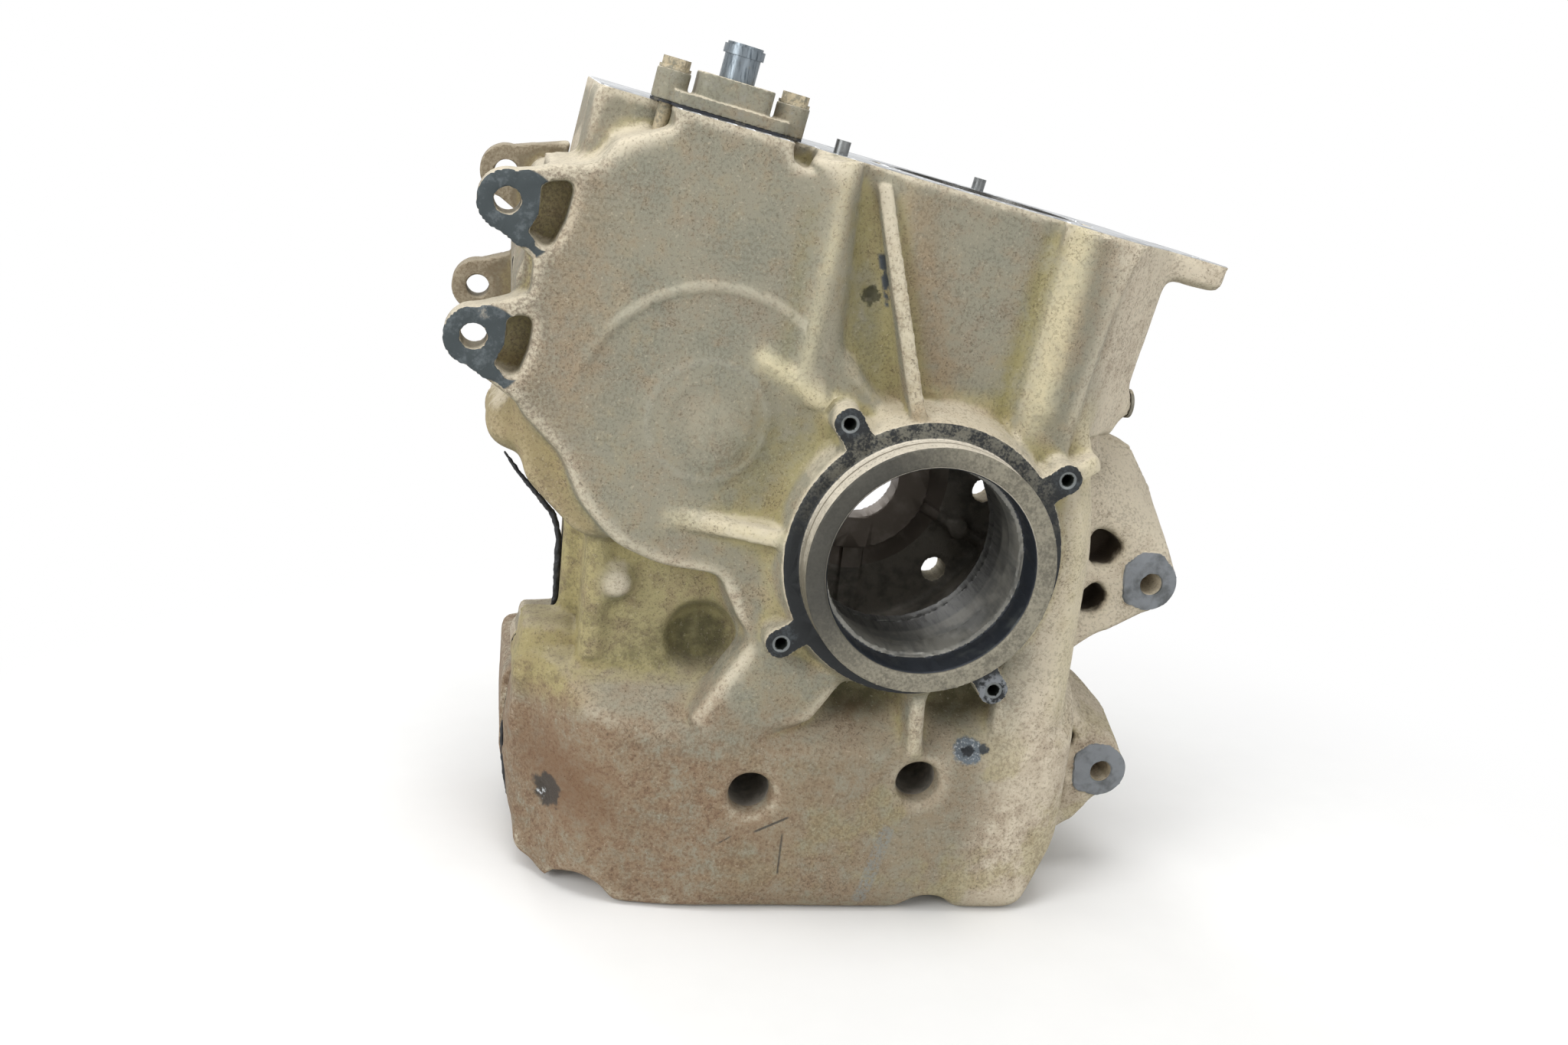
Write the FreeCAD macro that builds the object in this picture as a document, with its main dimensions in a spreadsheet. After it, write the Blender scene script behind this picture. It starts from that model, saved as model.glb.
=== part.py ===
import FreeCAD, Part
import math
import os
from FreeCAD import Placement, Rotation, Vector

# Crankcase of a single-cylinder engine: a front half with the cylinder block cast on, and a rear half
# Frame: the origin is the centre of the crank bore in the spigot's front face
# Plus Y runs into the case along the crank axis, plus Z is up, all sizes are in millimetres

doc = FreeCAD.newDocument("crankcase")
sheet = doc.addObject("Spreadsheet::Sheet", "sizes")

SIZES = [
    # Crank bore and spigot, turned in one setting
    ("spigot_radius", 53.0, "outer radius of the ring that carries the outer cover"),
    ("spigot_length", 14.0, "how far the ring stands out of the machined land"),
    ("mouth_radius", 44.0, "bore in the spigot"),
    ("mouth_depth", 16.0, "depth of the bore in the spigot"),
    ("throat_radius", 41.5, "shoulder between spigot bore and bearing seat"),
    ("throat_depth", 14.0, "length of the shoulder"),
    ("seat_radius", 43.5, "main bearing seat, open to the crank chamber"),
    ("seat_depth", 28.0, "bearing seat up to its snap ring"),
    ("snap_width", 2.0, "groove of the snap ring"),
    ("snap_depth", 1.6, "groove of the snap ring"),
    ("web_depth", 8.0, "wall between the snap ring and the crank chamber"),
    ("land_radius", 59.5, "outer radius of the land behind the ring"),
    ("tap_circle", 137.5, "circle of the four cover screws"),
    ("tap_angle", 34.5, "angle of the first cover screw"),
    ("tap_radius", 2.5, "core hole of an M6 thread"),
    ("tap_depth", 18.0, "depth of a cover screw hole"),
    ("tap_boss_radius", 6.6, "boss round a cover screw"),
    # Levels along the crank axis
    ("plate_y", 28.0, "face of the gear housing"),
    ("wall_y", 36.0, "front wall of the cylinder block"),
    ("sump_y", 22.0, "face of the sump"),
    ("flank_y", 52.0, "recessed wall under the gear housing"),
    ("split_y", 90.0, "joint between the halves"),
    ("flange_depth", 11.0, "thickness of the joint flange"),
    ("sealant_gap", 0.5, "film of sealant in the joint"),
    ("rear_y", 164.0, "back of the rear half"),
    ("rear_wall_y", 148.0, "inside of the rear wall"),
    ("rear_wall", 8.0, "thickness of the rear wall"),
    ("shell", 6.5, "thickness of the cast walls"),
    ("chamber_radius", 77.0, "crank chamber"),
    # Cylinder block, built in a frame that leans with the cylinder axis
    ("lean", 10.0, "lean of the cylinder axis in degrees"),
    ("deck_height", 148.6, "deck above the crank axis"),
    ("block_foot", 62.0, "underside of the block above the crank axis"),
    ("block_half", 86.0, "half width of the block"),
    ("cylinder_y", 92.0, "cylinder axis behind the spigot face"),
    ("block_back", 156.0, "back wall of the block"),
    ("bore_radius", 40.0, "cylinder bore"),
    ("liner_wall", 3.0, "wall of the cylinder liner"),
    ("liner_length", 96.0, "length of the cylinder liner"),
    ("jacket_inner", 46.5, "inner wall of the water jacket"),
    ("jacket_outer", 51.0, "outer wall of the water jacket"),
    ("jacket_depth", 60.0, "depth of the water jacket under the deck"),
    ("head_bolt_radius", 4.3, "core hole of a head bolt thread"),
    ("head_bolt_depth", 40.0, "depth of a head bolt hole"),
    ("head_bolt_u", 58.0, "head bolts left and right of the cylinder axis"),
    ("head_bolt_v", 42.0, "head bolts before and behind the cylinder axis"),
    ("wing_hole_radius", 3.5, "holes of the deck wing for M6 bolts"),
    ("wing_hole_u", 97.0, "holes of the deck wing right of the cylinder axis"),
    ("wing_hole_v", 19.0, "holes of the deck wing before and behind the cylinder axis"),
    # Suspension lugs on the left and on the right
    ("lug_upper_x", -179.0, "upper left lug"),
    ("lug_upper_z", 131.0, "upper left lug"),
    ("lug_lower_x", -189.0, "lower left lug"),
    ("lug_lower_z", 78.0, "lower left lug"),
    ("lug_radius", 11.8, "eye of a left lug"),
    ("lug_depth", 18.0, "thickness of a front left lug"),
    ("lug_rear_y", 150.0, "front face of the rear left lugs"),
    ("lug_hole", 5.25, "hole of a lug for an M10 bolt"),
    ("mount_upper_x", 124.5, "upper right mount"),
    ("mount_upper_z", -20.5, "upper right mount"),
    ("mount_lower_x", 116.7, "lower right mount"),
    ("mount_lower_z", -116.3, "lower right mount"),
    ("mount_radius", 13.6, "machined disc of a right mount"),
    ("mount_y", 60.0, "face of the right mounts"),
    ("mount_back_y", 128.0, "back of the right mounts"),
    # Sump
    ("base_z", -172.0, "flat base of the sump"),
    ("core_hole_radius", 9.7, "cored hole in the sump face"),
    ("core_hole_depth", 42.0, "depth of a cored hole"),
    # Outlet on the deck
    ("outlet_y", 50.0, "middle of the outlet flange"),
    ("outlet_u", -123.5, "middle of the outlet flange along the deck"),
    ("outlet_half_length", 23.3, "half length of the outlet flange between its ears"),
    ("outlet_half_width", 15.0, "half width of the outlet flange"),
    ("outlet_flange", 5.0, "thickness of the outlet flange"),
    ("gasket_thickness", 1.0, "outlet gasket"),
    ("dome_half_length", 15.0, "half length of the outlet dome"),
    ("dome_half_width", 12.5, "half width of the outlet dome"),
    ("dome_height", 9.5, "height of the dome above its flange"),
    ("tower_height", 12.0, "height of a bolt tower above the gasket"),
    ("tower_radius", 6.8, "bolt tower of the outlet"),
    ("outlet_bolt_span", 24.5, "outlet bolts left and right of its middle"),
    ("outlet_bolt_radius", 3.0, "shank of an M6 bolt"),
    ("nipple_radius", 7.2, "outside of the outlet nipple"),
    ("nipple_bore", 5.6, "inside of the outlet nipple"),
    ("nipple_length", 14.0, "nipple above the dome"),
    ("nipple_seat", 7.0, "nipple pressed into the dome"),
    ("nipple_bead", 1.0, "bead at the mouth of the nipple"),
    # Small parts
    ("dowel_radius", 3.0, "free end of a deck dowel"),
    ("dowel_root", 3.2, "deck dowel in its hole"),
    ("dowel_stand", 5.5, "deck dowel above the deck"),
    ("dowel_sink", 9.0, "deck dowel below the deck"),
    ("sleeve_radius", 6.0, "hollow dowel in the joint"),
    ("sleeve_bore", 4.6, "hole in a hollow dowel"),
    ("sleeve_reach", 7.0, "hollow dowel on each side of the joint"),
    ("bolt_radius", 4.0, "shank of an M8 case bolt"),
    ("bolt_clearance", 0.4, "clearance round a case bolt in the rear half"),
    ("bolt_grip", 22.0, "rear half under a case bolt's head"),
    ("bolt_bite", 24.0, "case bolt in the front half"),
    ("bolt_head", 6.5, "centre to corner of a case bolt's hexagon"),
    ("bolt_head_height", 6.0, "height of a case bolt's hexagon"),
    ("bolt_collar", 8.8, "flange of a case bolt"),
    ("bolt_collar_height", 1.8, "height of the flange of a case bolt"),
    ("head_room", 1.2, "room round the flange of a case bolt"),
    ("ear_radius", 10.5, "boss round a case bolt"),
    ("drain_radius", 7.0, "shank of the drain plug"),
    ("drain_length", 12.0, "shank of the drain plug"),
    ("drain_washer", 1.5, "washer of the drain plug"),
    ("main_bore", 20.0, "bore of the rear main boss"),
    ("main_boss", 36.0, "rear main boss"),
    ("main_boss_y", 140.0, "inner face of the rear main boss"),
    ("seal_radius", 25.0, "seat of the rear seal"),
    ("seal_depth", 7.0, "depth of the seat of the rear seal"),
    ("rim_radius", 54.0, "rim of the rear cover"),
    ("rim_wall", 7.0, "wall of the rim of the rear cover"),
    ("rim_length", 12.0, "rim of the rear cover behind the rear half"),
    ("register_step", 1.5, "shoulder at the bottom of the rim's register"),
    ("register_y", 160.0, "shoulder that the rear cover's register ends at"),
    ("gallery_radius", 4.5, "hole and shank of the gallery plug"),
    ("side_boss_radius", 8.0, "boss of the gallery plug"),
    ("side_boss_z", 62.0, "boss of the gallery plug above the crank axis"),
    ("side_boss_stand", 2.241, "boss of the gallery plug out of the block's side"),
]
for row, (alias, value, note) in enumerate(SIZES, start=1):
    sheet.set(f"A{row}", alias)
    sheet.set(f"B{row}", str(value))
    sheet.setAlias(f"B{row}", alias)
    sheet.set(f"C{row}", note)
doc.recompute()


class Sheet:
    """Gives each size of the sheet as a number."""

    def __getattr__(self, alias):
        return float(sheet.get(alias))


S = Sheet()


def bind(thing, prop, value):
    """Set a property to a number, or to an expression on the sheet."""
    if isinstance(value, str):
        words = value.replace("@", "sizes.")
        thing.setExpression(prop, words)
    else:
        thing.setExpression(prop, repr(float(value)))


def place(thing, x=0.0, y=0.0, z=0.0, rotation=Rotation()):
    thing.Placement = Placement(Vector(0, 0, 0), rotation)
    bind(thing, "Placement.Base.x", x)
    bind(thing, "Placement.Base.y", y)
    bind(thing, "Placement.Base.z", z)


ALONG_Y = Rotation(Vector(1, 0, 0), -90)
ALONG_X = Rotation(Vector(0, 1, 0), 90)
UPRIGHT = Rotation(Vector(1, 0, 0), 90)
LEAN = Rotation(Vector(0, 1, 0), S.lean)


def rounded(points):
    """Lines and arcs of a closed outline; each point is x, y and the radius of its corner."""
    corners = []
    count = len(points)
    for i in range(count):
        x, y, radius = points[i]
        here = Vector(x, y, 0)
        before = Vector(points[i - 1][0], points[i - 1][1], 0) - here
        after = Vector(points[(i + 1) % count][0], points[(i + 1) % count][1], 0) - here
        if radius <= 0:
            corners.append((here, None, here))
            continue
        half = before.getAngle(after) / 2
        reach = min(radius / math.tan(half), 0.48 * before.Length, 0.48 * after.Length)
        radius = reach * math.tan(half)
        before.normalize()
        after.normalize()
        middle = (before + after).normalize()
        tip = here + middle * (radius / math.sin(half) - radius)
        corners.append((here + before * reach, tip, here + after * reach))
    parts = []
    for i in range(count):
        first, tip, last = corners[i]
        if tip is not None:
            parts.append(Part.Arc(first, tip, last))
        following = corners[(i + 1) % count][0]
        if last.distanceToPoint(following) > 1e-6:
            parts.append(Part.LineSegment(last, following))
    return parts


def outline(name, points):
    sketch = doc.addObject("Sketcher::SketchObject", name)
    sketch.addGeometry(rounded(points))
    return sketch


def prism(name, points, y_from, y_to):
    """Outline in X and Z, extruded along Y."""
    sketch = outline(name + "_outline", points)
    place(sketch, 0, y_from, 0, UPRIGHT)
    body = doc.addObject("Part::Extrusion", name)
    body.Base = sketch
    body.DirMode = "Custom"
    body.Dir = Vector(0, 1, 0)
    body.Solid = True
    bind(body, "LengthFwd", f"({y_to}) - ({y_from})")
    return body


def leaning(name, points, w_from, w_to):
    """Outline in the plan of the block, extruded along the cylinder axis."""
    sketch = outline(name + "_outline", points)
    place(sketch, f"({w_from}) * sin(@lean)", 0, f"({w_from}) * cos(@lean)", LEAN)
    body = doc.addObject("Part::Extrusion", name)
    body.Base = sketch
    body.DirMode = "Custom"
    body.Dir = LEAN.multVec(Vector(0, 0, 1))
    body.Solid = True
    bind(body, "LengthFwd", f"({w_to}) - ({w_from})")
    return body


def drum(name, x, z, radius, y_from, y_to):
    """Cylinder along Y."""
    body = doc.addObject("Part::Cylinder", name)
    bind(body, "Radius", radius)
    bind(body, "Height", f"({y_to}) - ({y_from})")
    place(body, x, y_from, z, ALONG_Y)
    return body


def taper(name, x, z, r_from, r_to, y_from, y_to):
    """Cone along Y."""
    body = doc.addObject("Part::Cone", name)
    bind(body, "Radius1", r_from)
    bind(body, "Radius2", r_to)
    bind(body, "Height", f"({y_to}) - ({y_from})")
    place(body, x, y_from, z, ALONG_Y)
    return body


def post(name, u, v, radius, w_from, w_to):
    """Cylinder along the cylinder axis, at u across the block and v along Y."""
    body = doc.addObject("Part::Cylinder", name)
    bind(body, "Radius", radius)
    bind(body, "Height", f"({w_to}) - ({w_from})")
    place(
        body,
        f"({u}) * cos(@lean) + ({w_from}) * sin(@lean)",
        v,
        f"({w_from}) * cos(@lean) - ({u}) * sin(@lean)",
        LEAN,
    )
    return body


def fuse(name, pieces):
    body = doc.addObject("Part::MultiFuse", name)
    body.Shapes = pieces
    body.Refine = True
    return body


def cut(name, base, tools):
    body = doc.addObject("Part::Cut", name)
    body.Base = base
    body.Tool = tools[0] if len(tools) == 1 else fuse(name + "_tools", tools)
    body.Refine = True
    return body


def common(name, pieces):
    body = doc.addObject("Part::MultiCommon", name)
    body.Shapes = pieces
    return body


def loft(name, first, y_first, last, y_last):
    """Ruled solid between two outlines in X and Z."""
    front = outline(name + "_front", first)
    place(front, 0, y_first, 0, UPRIGHT)
    back = outline(name + "_back", last)
    place(back, 0, y_last, 0, UPRIGHT)
    body = doc.addObject("Part::Loft", name)
    body.Sections = [front, back]
    body.Solid = True
    body.Ruled = True
    return body


def rib(name, start, start_y, end, end_y, back_y, width):
    """Straight web in X and Z whose crest runs from start_y to end_y."""
    along = Vector(end[0] - start[0], 0, end[1] - start[1])
    length = along.Length
    turn = math.degrees(math.atan2(-along.z, along.x))
    side = [(0, start_y, 0), (length, end_y, 0), (length, back_y, 0), (0, back_y, 0)]
    sketch = outline(name + "_outline", side)
    offset = Vector(-along.z, 0, along.x).normalize() * (-width / 2)
    sketch.Placement = Placement(
        Vector(start[0], 0, start[1]) + offset, Rotation(Vector(0, 1, 0), turn)
    )
    body = doc.addObject("Part::Extrusion", name)
    body.Base = sketch
    body.DirMode = "Custom"
    body.Dir = Vector(-along.z, 0, along.x).normalize()
    body.LengthFwd = width
    body.Solid = True
    return body


def deck_z(x):
    """Height of the deck plane over the row frame at x."""
    lean = math.radians(S.lean)
    return (S.deck_height - x * math.sin(lean)) / math.cos(lean)


def from_block(u, w):
    """Point of the leaning frame in X and Z."""
    lean = math.radians(S.lean)
    return (u * math.cos(lean) + w * math.sin(lean), w * math.cos(lean) - u * math.sin(lean))


JOINT_FRONT = "@split_y - @sealant_gap / 2"
JOINT_REAR = "@split_y + @sealant_gap / 2"
HEAD_ROOM = "@bolt_collar + @head_room"
BOSS_FACE = "(@block_half + @side_boss_z * sin(@lean)) / cos(@lean) + @side_boss_stand"
SEAT_START = "@mouth_depth + @throat_depth"
SEAT_END = "@mouth_depth + @throat_depth + @seat_depth"
FLOOR = 15.0
BLOCK_LEFT = -174.0
BLOCK_STEP = 112.0

# The joint between the halves: its outline leaves room for the block that overhangs the rear half
JOINT = [
    (-150, S.base_z, 10),
    (-163, -150, 14),
    (-167, -110, 10),
    (-162, -60, 4),
    (-146, -58, 4),
    (-146, -8, 8),
    (-168, 16, 10),
    (-173, 60, 8),
    (-175, 100, 8),
    (-168, 138, 8),
    (*from_block(BLOCK_LEFT, BLOCK_STEP), 0),
    (*from_block(-S.block_half, BLOCK_STEP), 0),
    (*from_block(-S.block_half, S.block_foot), 0),
    (*from_block(S.block_half, S.block_foot), 0),
    (92, 22, 12),
    (89, -10, 10),
    (89, -74, 10),
    (96, -112, 10),
    (97, -140, 8),
    (80, S.base_z, 8),
]

# Behind its flange the rear half draws in at the waist and at the shoulder
REAR_OUTLINE = [
    (-150, S.base_z, 10),
    (-163, -150, 14),
    (-168, -124, 8),
    (-168.5, -87, 7),
    (-146, -85, 4),
    (-138, -74, 6),
    (-138, -6, 8),
    (-164, 18, 10),
    *JOINT[7:],
]

# Hollows inside the walls, the same in both halves
GEAR_HOLLOW = [
    (-166, 24, 8),
    (-166, 100, 8),
    (-160, 132, 8),
    (-80, 118, 8),
    (-84, 50, 10),
    (-90, 2, 8),
    (-118, 2, 10),
    (-142, 22, 10),
]
GEAR_FRONT_HOLLOW = [
    (-161, 58, 8),
    (-160, 100, 8),
    (-154, 132, 8),
    (-80, 118, 8),
    (-84, 50, 10),
    (-90, 2, 8),
    (-118, 4, 10),
    (-136, 20, 10),
    (-144, 38, 10),
]
WALL_HOLLOW = [
    (-108, -27, 4),
    (-108, -12, 4),
    (-92, -6, 4),
    (-89, -27, 4),
]
SUMP_HOLLOW = [
    (-146, S.base_z + FLOOR, 10),
    (-156, -146, 8),
    (-160, -112, 8),
    (-158, -98, 5),
    (-126, -93, 5),
    (-106, -70, 8),
    (-80, -66, 10),
    (-64, -88, 10),
    (60, -92, 10),
    (80, -86, 8),
    (88, -112, 8),
    (89, -136, 8),
    (76, S.base_z + FLOOR, 8),
]
SUMP_FRONT_HOLLOW = [
    (-112, S.base_z + FLOOR, 10),
    (-112, -102, 10),
    (70, -102, 10),
    (70, S.base_z + FLOOR, 10),
]

# Case bolts, screwed from behind into blind bosses of the front half
CASE_BOLTS = [
    (-170.5, 38),
    (-155, -75),
    (-150, -157),
    (-44, -158),
    (73, -157),
    (81, -64),
    (-84, 110),
    (-124, -27),
]
SLEEVES = [(-157, -126), (86, 38)]
DECK_DOWELS = [(-77, 42), (16, 149)]
BASE_GROOVES = [(-131, 15), (28, 13)]
CORE_HOLES = [(-60.4, -113.5), (14.4, -106.3)]
GEAR_SHAFT = (-94, 51.5)
CLEAR_ABOVE = 80
OUTLET_PORT = 9.0
PORT_DEPTH = 22.0
BULGE = 12.5
STUD_BOSS = 8.5


# Right edge of the front half beside the ring, below the slope of its shoulder
FLANK_EDGE = [
    (46, -30, 0),
    (70, 40, 0),
    (80, 26, 10),
    (84, 0, 20),
    (84, -60, 10),
    (85, -84, 0),
    (46, -84, 0),
]


def front_shell():
    """Outer forms of the front half."""
    plate = prism(
        "gear_face",
        [
            (-56, 100, 0),
            (-60, 151, 0),
            (-71, 156, 0),
            (-71, deck_z(-71), 0),
            (-118, deck_z(-118), 0),
            (-118, 164, 3),
            (-139, 158, 8),
            (-147, 147, 8),
            (-164, 146, 0),
            (-168, 105, 6),
            (-171, 50, 8),
            (-152, 31, 14),
            (-144, 13, 30),
            (-128, -5, 34),
            (-108, -13, 30),
            (-83, -16, 5),
            (-73, -36, 30),
            (-52, -60, 0),
            (-20, -40, 0),
            (-20, 60, 0),
        ],
        "@plate_y",
        JOINT_FRONT,
    )
    housing = prism(
        "chain_housing",
        [
            (-164, 100, 0),
            (-168, 138, 8),
            (-152, 142, 0),
            (-147, deck_z(-147), 5),
            (-56, deck_z(-56), 0),
            (-56, 100, 0),
        ],
        "@flank_y",
        JOINT_FRONT,
    )
    gear_body = prism(
        "gear_body",
        [
            (-60, 0, 0),
            (-60, 120, 0),
            (-168, 120, 0),
            (-174, 100, 6),
            (-173, 60, 8),
            (-166, 18, 10),
            (-142, -6, 12),
        ],
        "@plate_y + 12",
        JOINT_FRONT,
    )
    rear_box = leaning(
        "rear_box",
        [
            (BLOCK_LEFT, S.flank_y + 8, 0),
            (-S.block_half, S.flank_y + 8, 0),
            (-S.block_half, S.block_back, 0),
            (BLOCK_LEFT, S.block_back, 8),
        ],
        BLOCK_STEP,
        "@deck_height",
    )
    block = leaning(
        "block",
        [
            (-S.block_half, S.wall_y, 4),
            (52, S.wall_y, 6),
            (58, S.wall_y + 2, 6),
            (S.block_half, 66, 12),
            (S.block_half, S.block_back, 10),
            (-S.block_half, S.block_back, 10),
        ],
        "@block_foot",
        "@deck_height",
    )
    neck = prism(
        "neck",
        [
            (*from_block(-70, 0), 0),
            (*from_block(-80, 78), 0),
            (*from_block(58, 78), 0),
            (84, 0, 20),
        ],
        "@wall_y",
        JOINT_FRONT,
    )
    wing = leaning(
        "deck_wing",
        [
            (60, 62, 0),
            (111, 62, 4),
            (111, 122, 4),
            (60, 122, 0),
        ],
        "@deck_height - 12.5",
        "@deck_height",
    )
    chamber = drum("chamber_wall", 0, 0, "@chamber_radius + @shell + 1", "@wall_y + 8", JOINT_FRONT)
    skirt = taper("ring_skirt", 0, 0, "@land_radius", "@land_radius + 9", "@spigot_length", "@wall_y + 12")
    ring = drum("spigot_ring", 0, 0, "@spigot_radius", 0, "@spigot_length + 1")
    column_left = doc.addObject("Part::Cylinder", "column_left")
    bind(column_left, "Radius", 10.5)
    bind(column_left, "Height", 98)
    place(column_left, -52, "@plate_y + 8", 60)
    column_right = prism(
        "column_right",
        [
            (*from_block(20, S.deck_height), 0),
            (*from_block(56, S.deck_height), 0),
            (72, 106, 14),
            (64, 62, 20),
            (60, 30, 0),
            (34, 44, 0),
            (34, 60, 14),
        ],
        "@plate_y + 1.5",
        "@wall_y + 20",
    )
    second_column = post("second_column", "@block_half - 12", 70, 12, "@block_foot", "@deck_height")
    right_flank = loft(
        "right_flank",
        [(46, -30, 0), (60, 40, 0), (69, 26, 10), (72, 0, 20), (72, -60, 10), (74, -84, 0), (46, -84, 0)],
        S.sump_y + 4,
        FLANK_EDGE,
        S.sump_y + 18,
    )
    right_flank_body = prism("right_flank_body", FLANK_EDGE, "@sump_y + 18", JOINT_FRONT)
    left_web = prism(
        "left_web",
        [
            (-67, -43, 0),
            (-44, -52, 0),
            (-22, -56, 0),
            (-37, -80, 0),
            (-80, -92, 0),
            (-90, -80, 0),
        ],
        "@sump_y + 2",
        JOINT_FRONT,
    )
    rib_under = prism(
        "rib_under",
        [(3.5, -50, 0), (11, -50, 0), (14, -92, 0), (6, -92, 0)],
        "@spigot_length + 4",
        "@split_y - 20",
    )
    flank = prism(
        "flank_wall",
        [
            (-137, -62, 8),
            (-137, 8, 8),
            (-60, 8, 0),
            (-60, -70, 0),
            (-130, -80, 0),
        ],
        "@flank_y",
        JOINT_FRONT,
    )
    shoulder = prism(
        "left_shoulder",
        [(-162, -54, 4), (-140, -54, 0), (-136, -105, 0), (-166, -108, 0)],
        "@flank_y + 12",
        JOINT_FRONT,
    )
    flange = prism("front_flange", JOINT, "@split_y - @flange_depth", JOINT_FRONT)
    return [
        plate, housing, gear_body, rear_box, block, neck, wing, chamber, skirt, ring, column_left,
        column_right, second_column, right_flank, right_flank_body, left_web, rib_under, flank, shoulder,
        flange,
    ]


def front_sump():
    """Sump trough: its front view, plan and side view meet in one solid."""
    front_view = prism(
        "sump_front_view",
        [
            (-148, S.base_z, 12),
            (-162, -150, 14),
            (-166, -110, 10),
            (-160, -58, 0),
            (92, -58, 0),
            (92, -130, 8),
            (80, -152, 10),
            (72, S.base_z, 10),
        ],
        0,
        JOINT_FRONT,
    )
    plan = outline(
        "sump_plan_outline",
        [
            (-70, S.sump_y, 60),
            (-132, S.sump_y + 10, 40),
            (-164, 72, 30),
            (-172, S.split_y + 20, 0),
            (110, S.split_y + 20, 0),
            (86, S.sump_y + 6, 14),
            (60, S.sump_y, 20),
        ],
    )
    place(plan, 0, 0, "@base_z - 1")
    plan_body = doc.addObject("Part::Extrusion", "sump_plan")
    plan_body.Base = plan
    plan_body.DirMode = "Custom"
    plan_body.Dir = Vector(0, 0, 1)
    plan_body.Solid = True
    bind(plan_body, "LengthFwd", 130)
    side = outline(
        "sump_side_outline",
        [
            (S.sump_y + 5, S.base_z - 1, 6),
            (S.sump_y, -160, 10),
            (S.sump_y - 1, -92, 12),
            (S.flank_y + 2, -66, 16),
            (S.split_y + 20, -60, 0),
            (S.split_y + 20, S.base_z - 1, 0),
        ],
    )
    side.Placement = Placement(
        Vector(-200, 0, 0), Rotation(Vector(0, 1, 0), Vector(0, 0, 1), Vector(1, 0, 0), "XYZ")
    )
    side_body = doc.addObject("Part::Extrusion", "sump_side")
    side_body.Base = side
    side_body.DirMode = "Custom"
    side_body.Dir = Vector(1, 0, 0)
    side_body.Solid = True
    bind(side_body, "LengthFwd", 400)
    return common("sump_trough", [front_view, plan_body, side_body])


def cover_bosses():
    """Four tapped bosses on the land, each tied to it by a web."""
    pieces = []
    for i in range(4):
        angle = math.radians(S.tap_angle + 90 * i)
        x = f"@tap_circle / 2 * cos(@tap_angle + {90 * i})"
        z = f"@tap_circle / 2 * sin(@tap_angle + {90 * i})"
        pieces.append(drum(f"tap_boss_{i}", x, z, "@tap_boss_radius", "@spigot_length", "@wall_y + 4"))
        inner = (50 * math.cos(angle), 50 * math.sin(angle))
        outer = (0.5 * S.tap_circle * math.cos(angle), 0.5 * S.tap_circle * math.sin(angle))
        pieces.append(
            rib(f"tap_web_{i}", inner, S.spigot_length, outer, S.spigot_length, S.wall_y, 12.4)
        )
    return pieces


def front_ribs():
    gusset_top = from_block(-58, S.deck_height - 6)
    return [
        rib("gusset", gusset_top, S.wall_y - 4, (-9.5, 60), S.spigot_length + 3, S.wall_y + 8, 6.0),
        rib("rib_high", (-74, 78), S.plate_y, (-36, 54), S.spigot_length, S.wall_y + 6, 8.0),
        rib("rib_low", (-105, 9), S.plate_y, (-54, 4), S.spigot_length + 1, S.wall_y + 6, 7.0),
        rib("rib_skirt", (76, 44), S.plate_y, (52, 34), S.spigot_length + 1, S.wall_y, 8.0),
    ]


LUG_ARMS = {
    "upper": [
        (-180, 141.8, 0),
        (-150, 147, 0),
        (-146, 110, 0),
        (-163, 106, 4),
        (-186, 122.8, 0),
    ],
    "lower": [
        (-190.5, 88.9, 0),
        (-162, 98, 4),
        (-160, 50, 0),
        (-169.5, 51.5, 2),
        (-195.4, 69.4, 0),
    ],
}
LUG_POCKETS = {
    "upper": [
        (-166.5, 138.5, 2), (-153.5, 141, 3), (-156.5, 125, 4), (-162, 113, 2), (-171, 119.5, 3),
        (-166.5, 128, 4),
    ],
    "lower": [
        (-177, 86, 2), (-166, 88, 3), (-167.5, 74, 4), (-172, 61.5, 2), (-181, 67, 3), (-176.5, 77, 4),
    ],
}


def left_lug(end, tag, y_from, y_to):
    """Eye and arm of a lug on the left."""
    eye = drum(f"{tag}_{end}_eye", f"@lug_{end}_x", f"@lug_{end}_z", "@lug_radius", y_from, y_to)
    arm = prism(f"{tag}_{end}_arm", LUG_ARMS[end], y_from, y_to)
    return [eye, arm]


MOUNT_FRONT = {
    "upper": [
        (84, 22, 0), (93, 16, 2), (111, 7.5, 4), (131, -4, 8), (138, -19, 8), (126.6, -34.2, 8),
        (100, -50, 6), (84, -64, 0),
    ],
    "lower": [
        (86, -80, 0), (95, -84, 2), (106, -94, 4), (123, -101, 8), (130, -116, 8), (117, -130.2, 8),
        (106, -145, 6), (88, -158, 0),
    ],
}
MOUNT_BACK = {
    "upper": [
        (84, 44, 0), (99, 44, 2), (115, 38, 4), (128, 19, 8), (140, -10, 8), (129, -34.2, 8),
        (104, -50, 6), (84, -60, 0),
    ],
    "lower": [
        (86, -72, 0), (97, -74, 2), (112, -82, 4), (126, -96, 8), (131, -116, 8), (119, -130.2, 8),
        (108, -145, 6), (88, -156, 0),
    ],
}
MOUNT_POCKETS = {
    "upper": [
        [(93, 5, 3), (103, 2, 4), (110, -4, 3), (104, -13, 4), (93, -14, 3)],
        [(98, -20, 3), (106, -28, 4), (101, -37, 4), (92, -37, 3), (93, -28, 3)],
    ],
    "lower": [
        [(94, -95, 3), (102, -97, 3), (99, -108, 3), (94, -108, 2)],
        [(95, -121, 2), (100, -123, 2), (98, -137, 3), (93, -137, 2)],
    ],
}


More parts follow.
